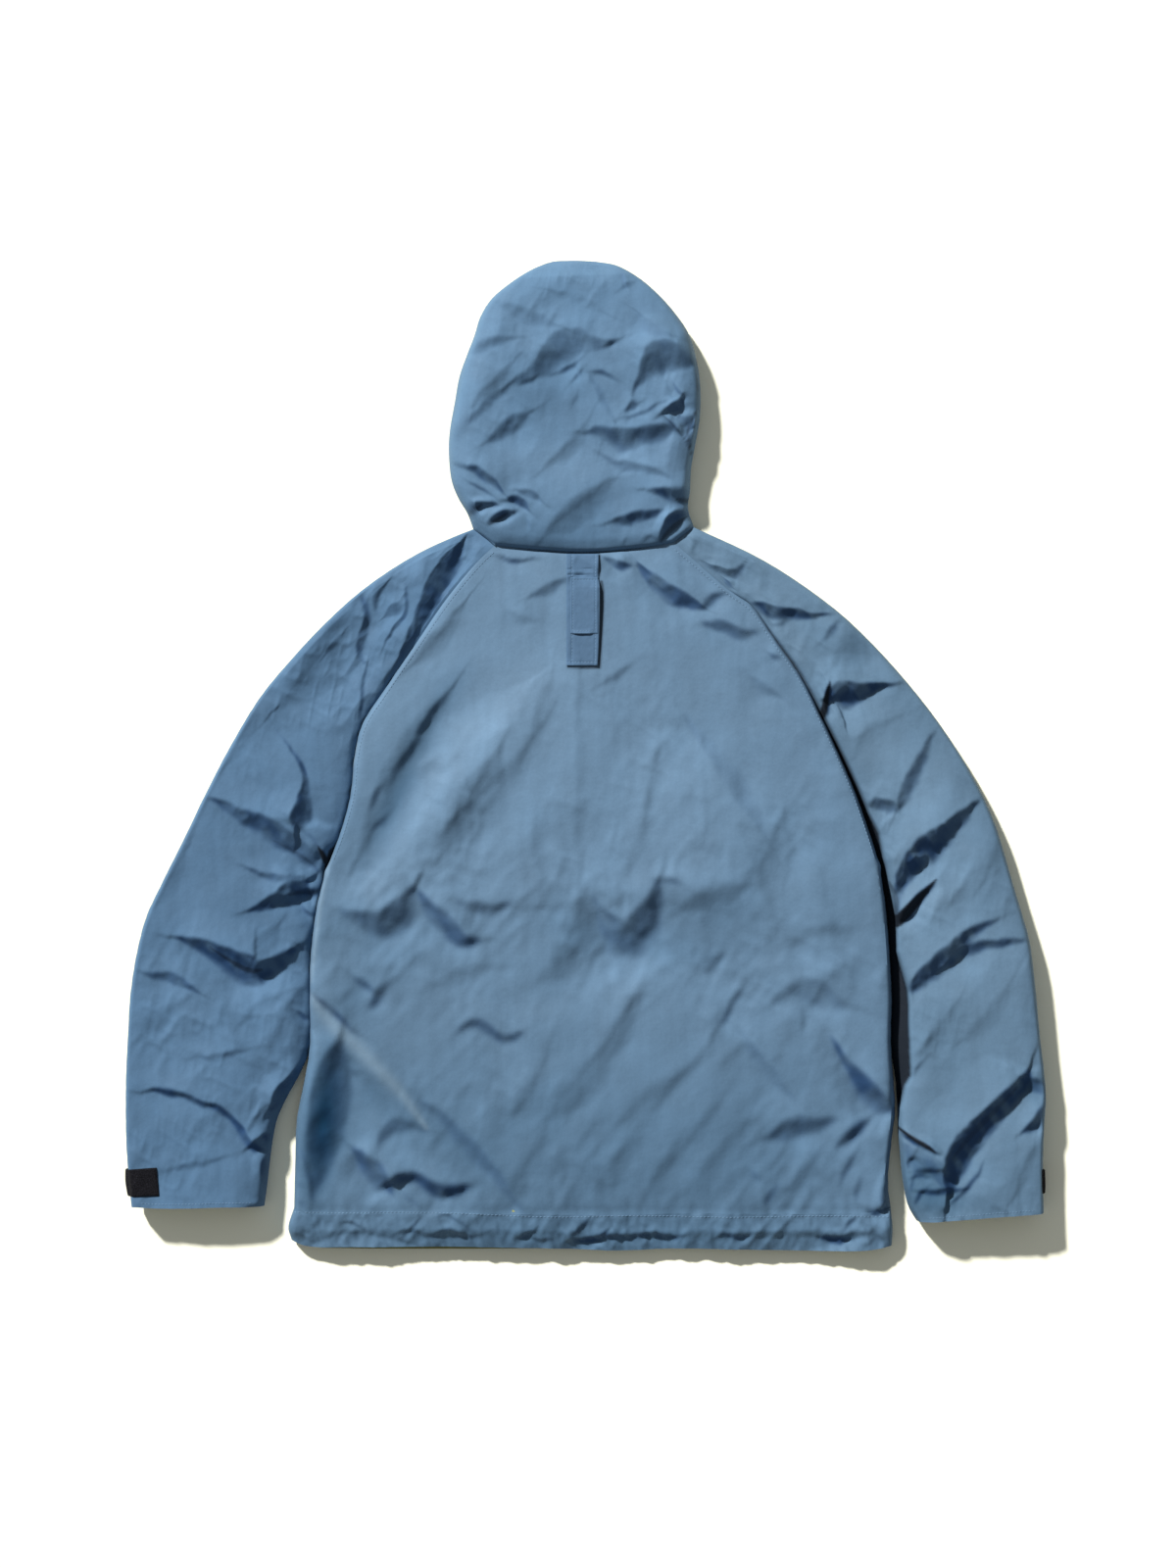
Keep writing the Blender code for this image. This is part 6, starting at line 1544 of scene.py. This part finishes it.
# Half the floor's side and its depth below the part, in metres; the sun's height and its way in plan
FLOOR = 100.0
FLOOR_DEPTH = 0.0002
SUN_HEIGHT = math.radians(33)
SUN_WAY = (0.6, -0.8)
CAMERA_AT = (0.00267, -0.02886, 4.012)


def make_stage():
    floor_mesh = bpy.data.meshes.new("floor")
    corners = [(-FLOOR, -FLOOR, 0), (FLOOR, -FLOOR, 0), (FLOOR, FLOOR, 0), (-FLOOR, FLOOR, 0)]
    floor_mesh.from_pydata(corners, [], [(0, 1, 2, 3)])
    floor = bpy.data.objects.new("floor", floor_mesh)
    floor.location.z = -FLOOR_DEPTH
    bpy.context.scene.collection.objects.link(floor)
    made, tree, shader = shader_of("floor_paper", (0.96, 0.945, 0.78), 0.9)
    grain = noise_node(tree, add(tree, "ShaderNodeTexCoord").outputs["Object"], 3, 4)
    speckled = ramp(tree, grain, ((0.3, (0.95, 0.935, 0.765)), (0.7, (0.97, 0.955, 0.79))))
    tree.links.new(speckled, shader.inputs["Base Color"])
    shader.inputs["Specular IOR Level"].default_value = 0.1
    floor_mesh.materials.append(made)


def make_light():
    data = bpy.data.lights.new("sun", "SUN")
    data.energy = 6.6
    data.angle = math.radians(4)
    data.color = (1, 0.985, 0.96)
    sun = bpy.data.objects.new("sun", data)
    flat = math.cos(SUN_HEIGHT)
    travel = Vector((SUN_WAY[0] * flat, SUN_WAY[1] * flat, -math.sin(SUN_HEIGHT)))
    sun.rotation_euler = travel.to_track_quat("-Z", "Y").to_euler()
    bpy.context.scene.collection.objects.link(sun)
    world = bpy.data.worlds.new("soft_room")
    world.use_nodes = True
    background = world.node_tree.nodes["Background"]
    background.inputs["Color"].default_value = (0.93, 0.97, 1, 1)
    background.inputs["Strength"].default_value = 0.3
    bpy.context.scene.world = world


def make_camera():
    data = bpy.data.cameras.new("camera")
    data.lens = 90
    data.sensor_width = 36
    data.clip_end = 300
    camera = bpy.data.objects.new("camera", data)
    camera.location = CAMERA_AT
    bpy.context.scene.collection.objects.link(camera)
    bpy.context.scene.camera = camera


make_stage()
make_light()
make_camera()
bpy.context.scene.view_settings.view_transform = "Standard"
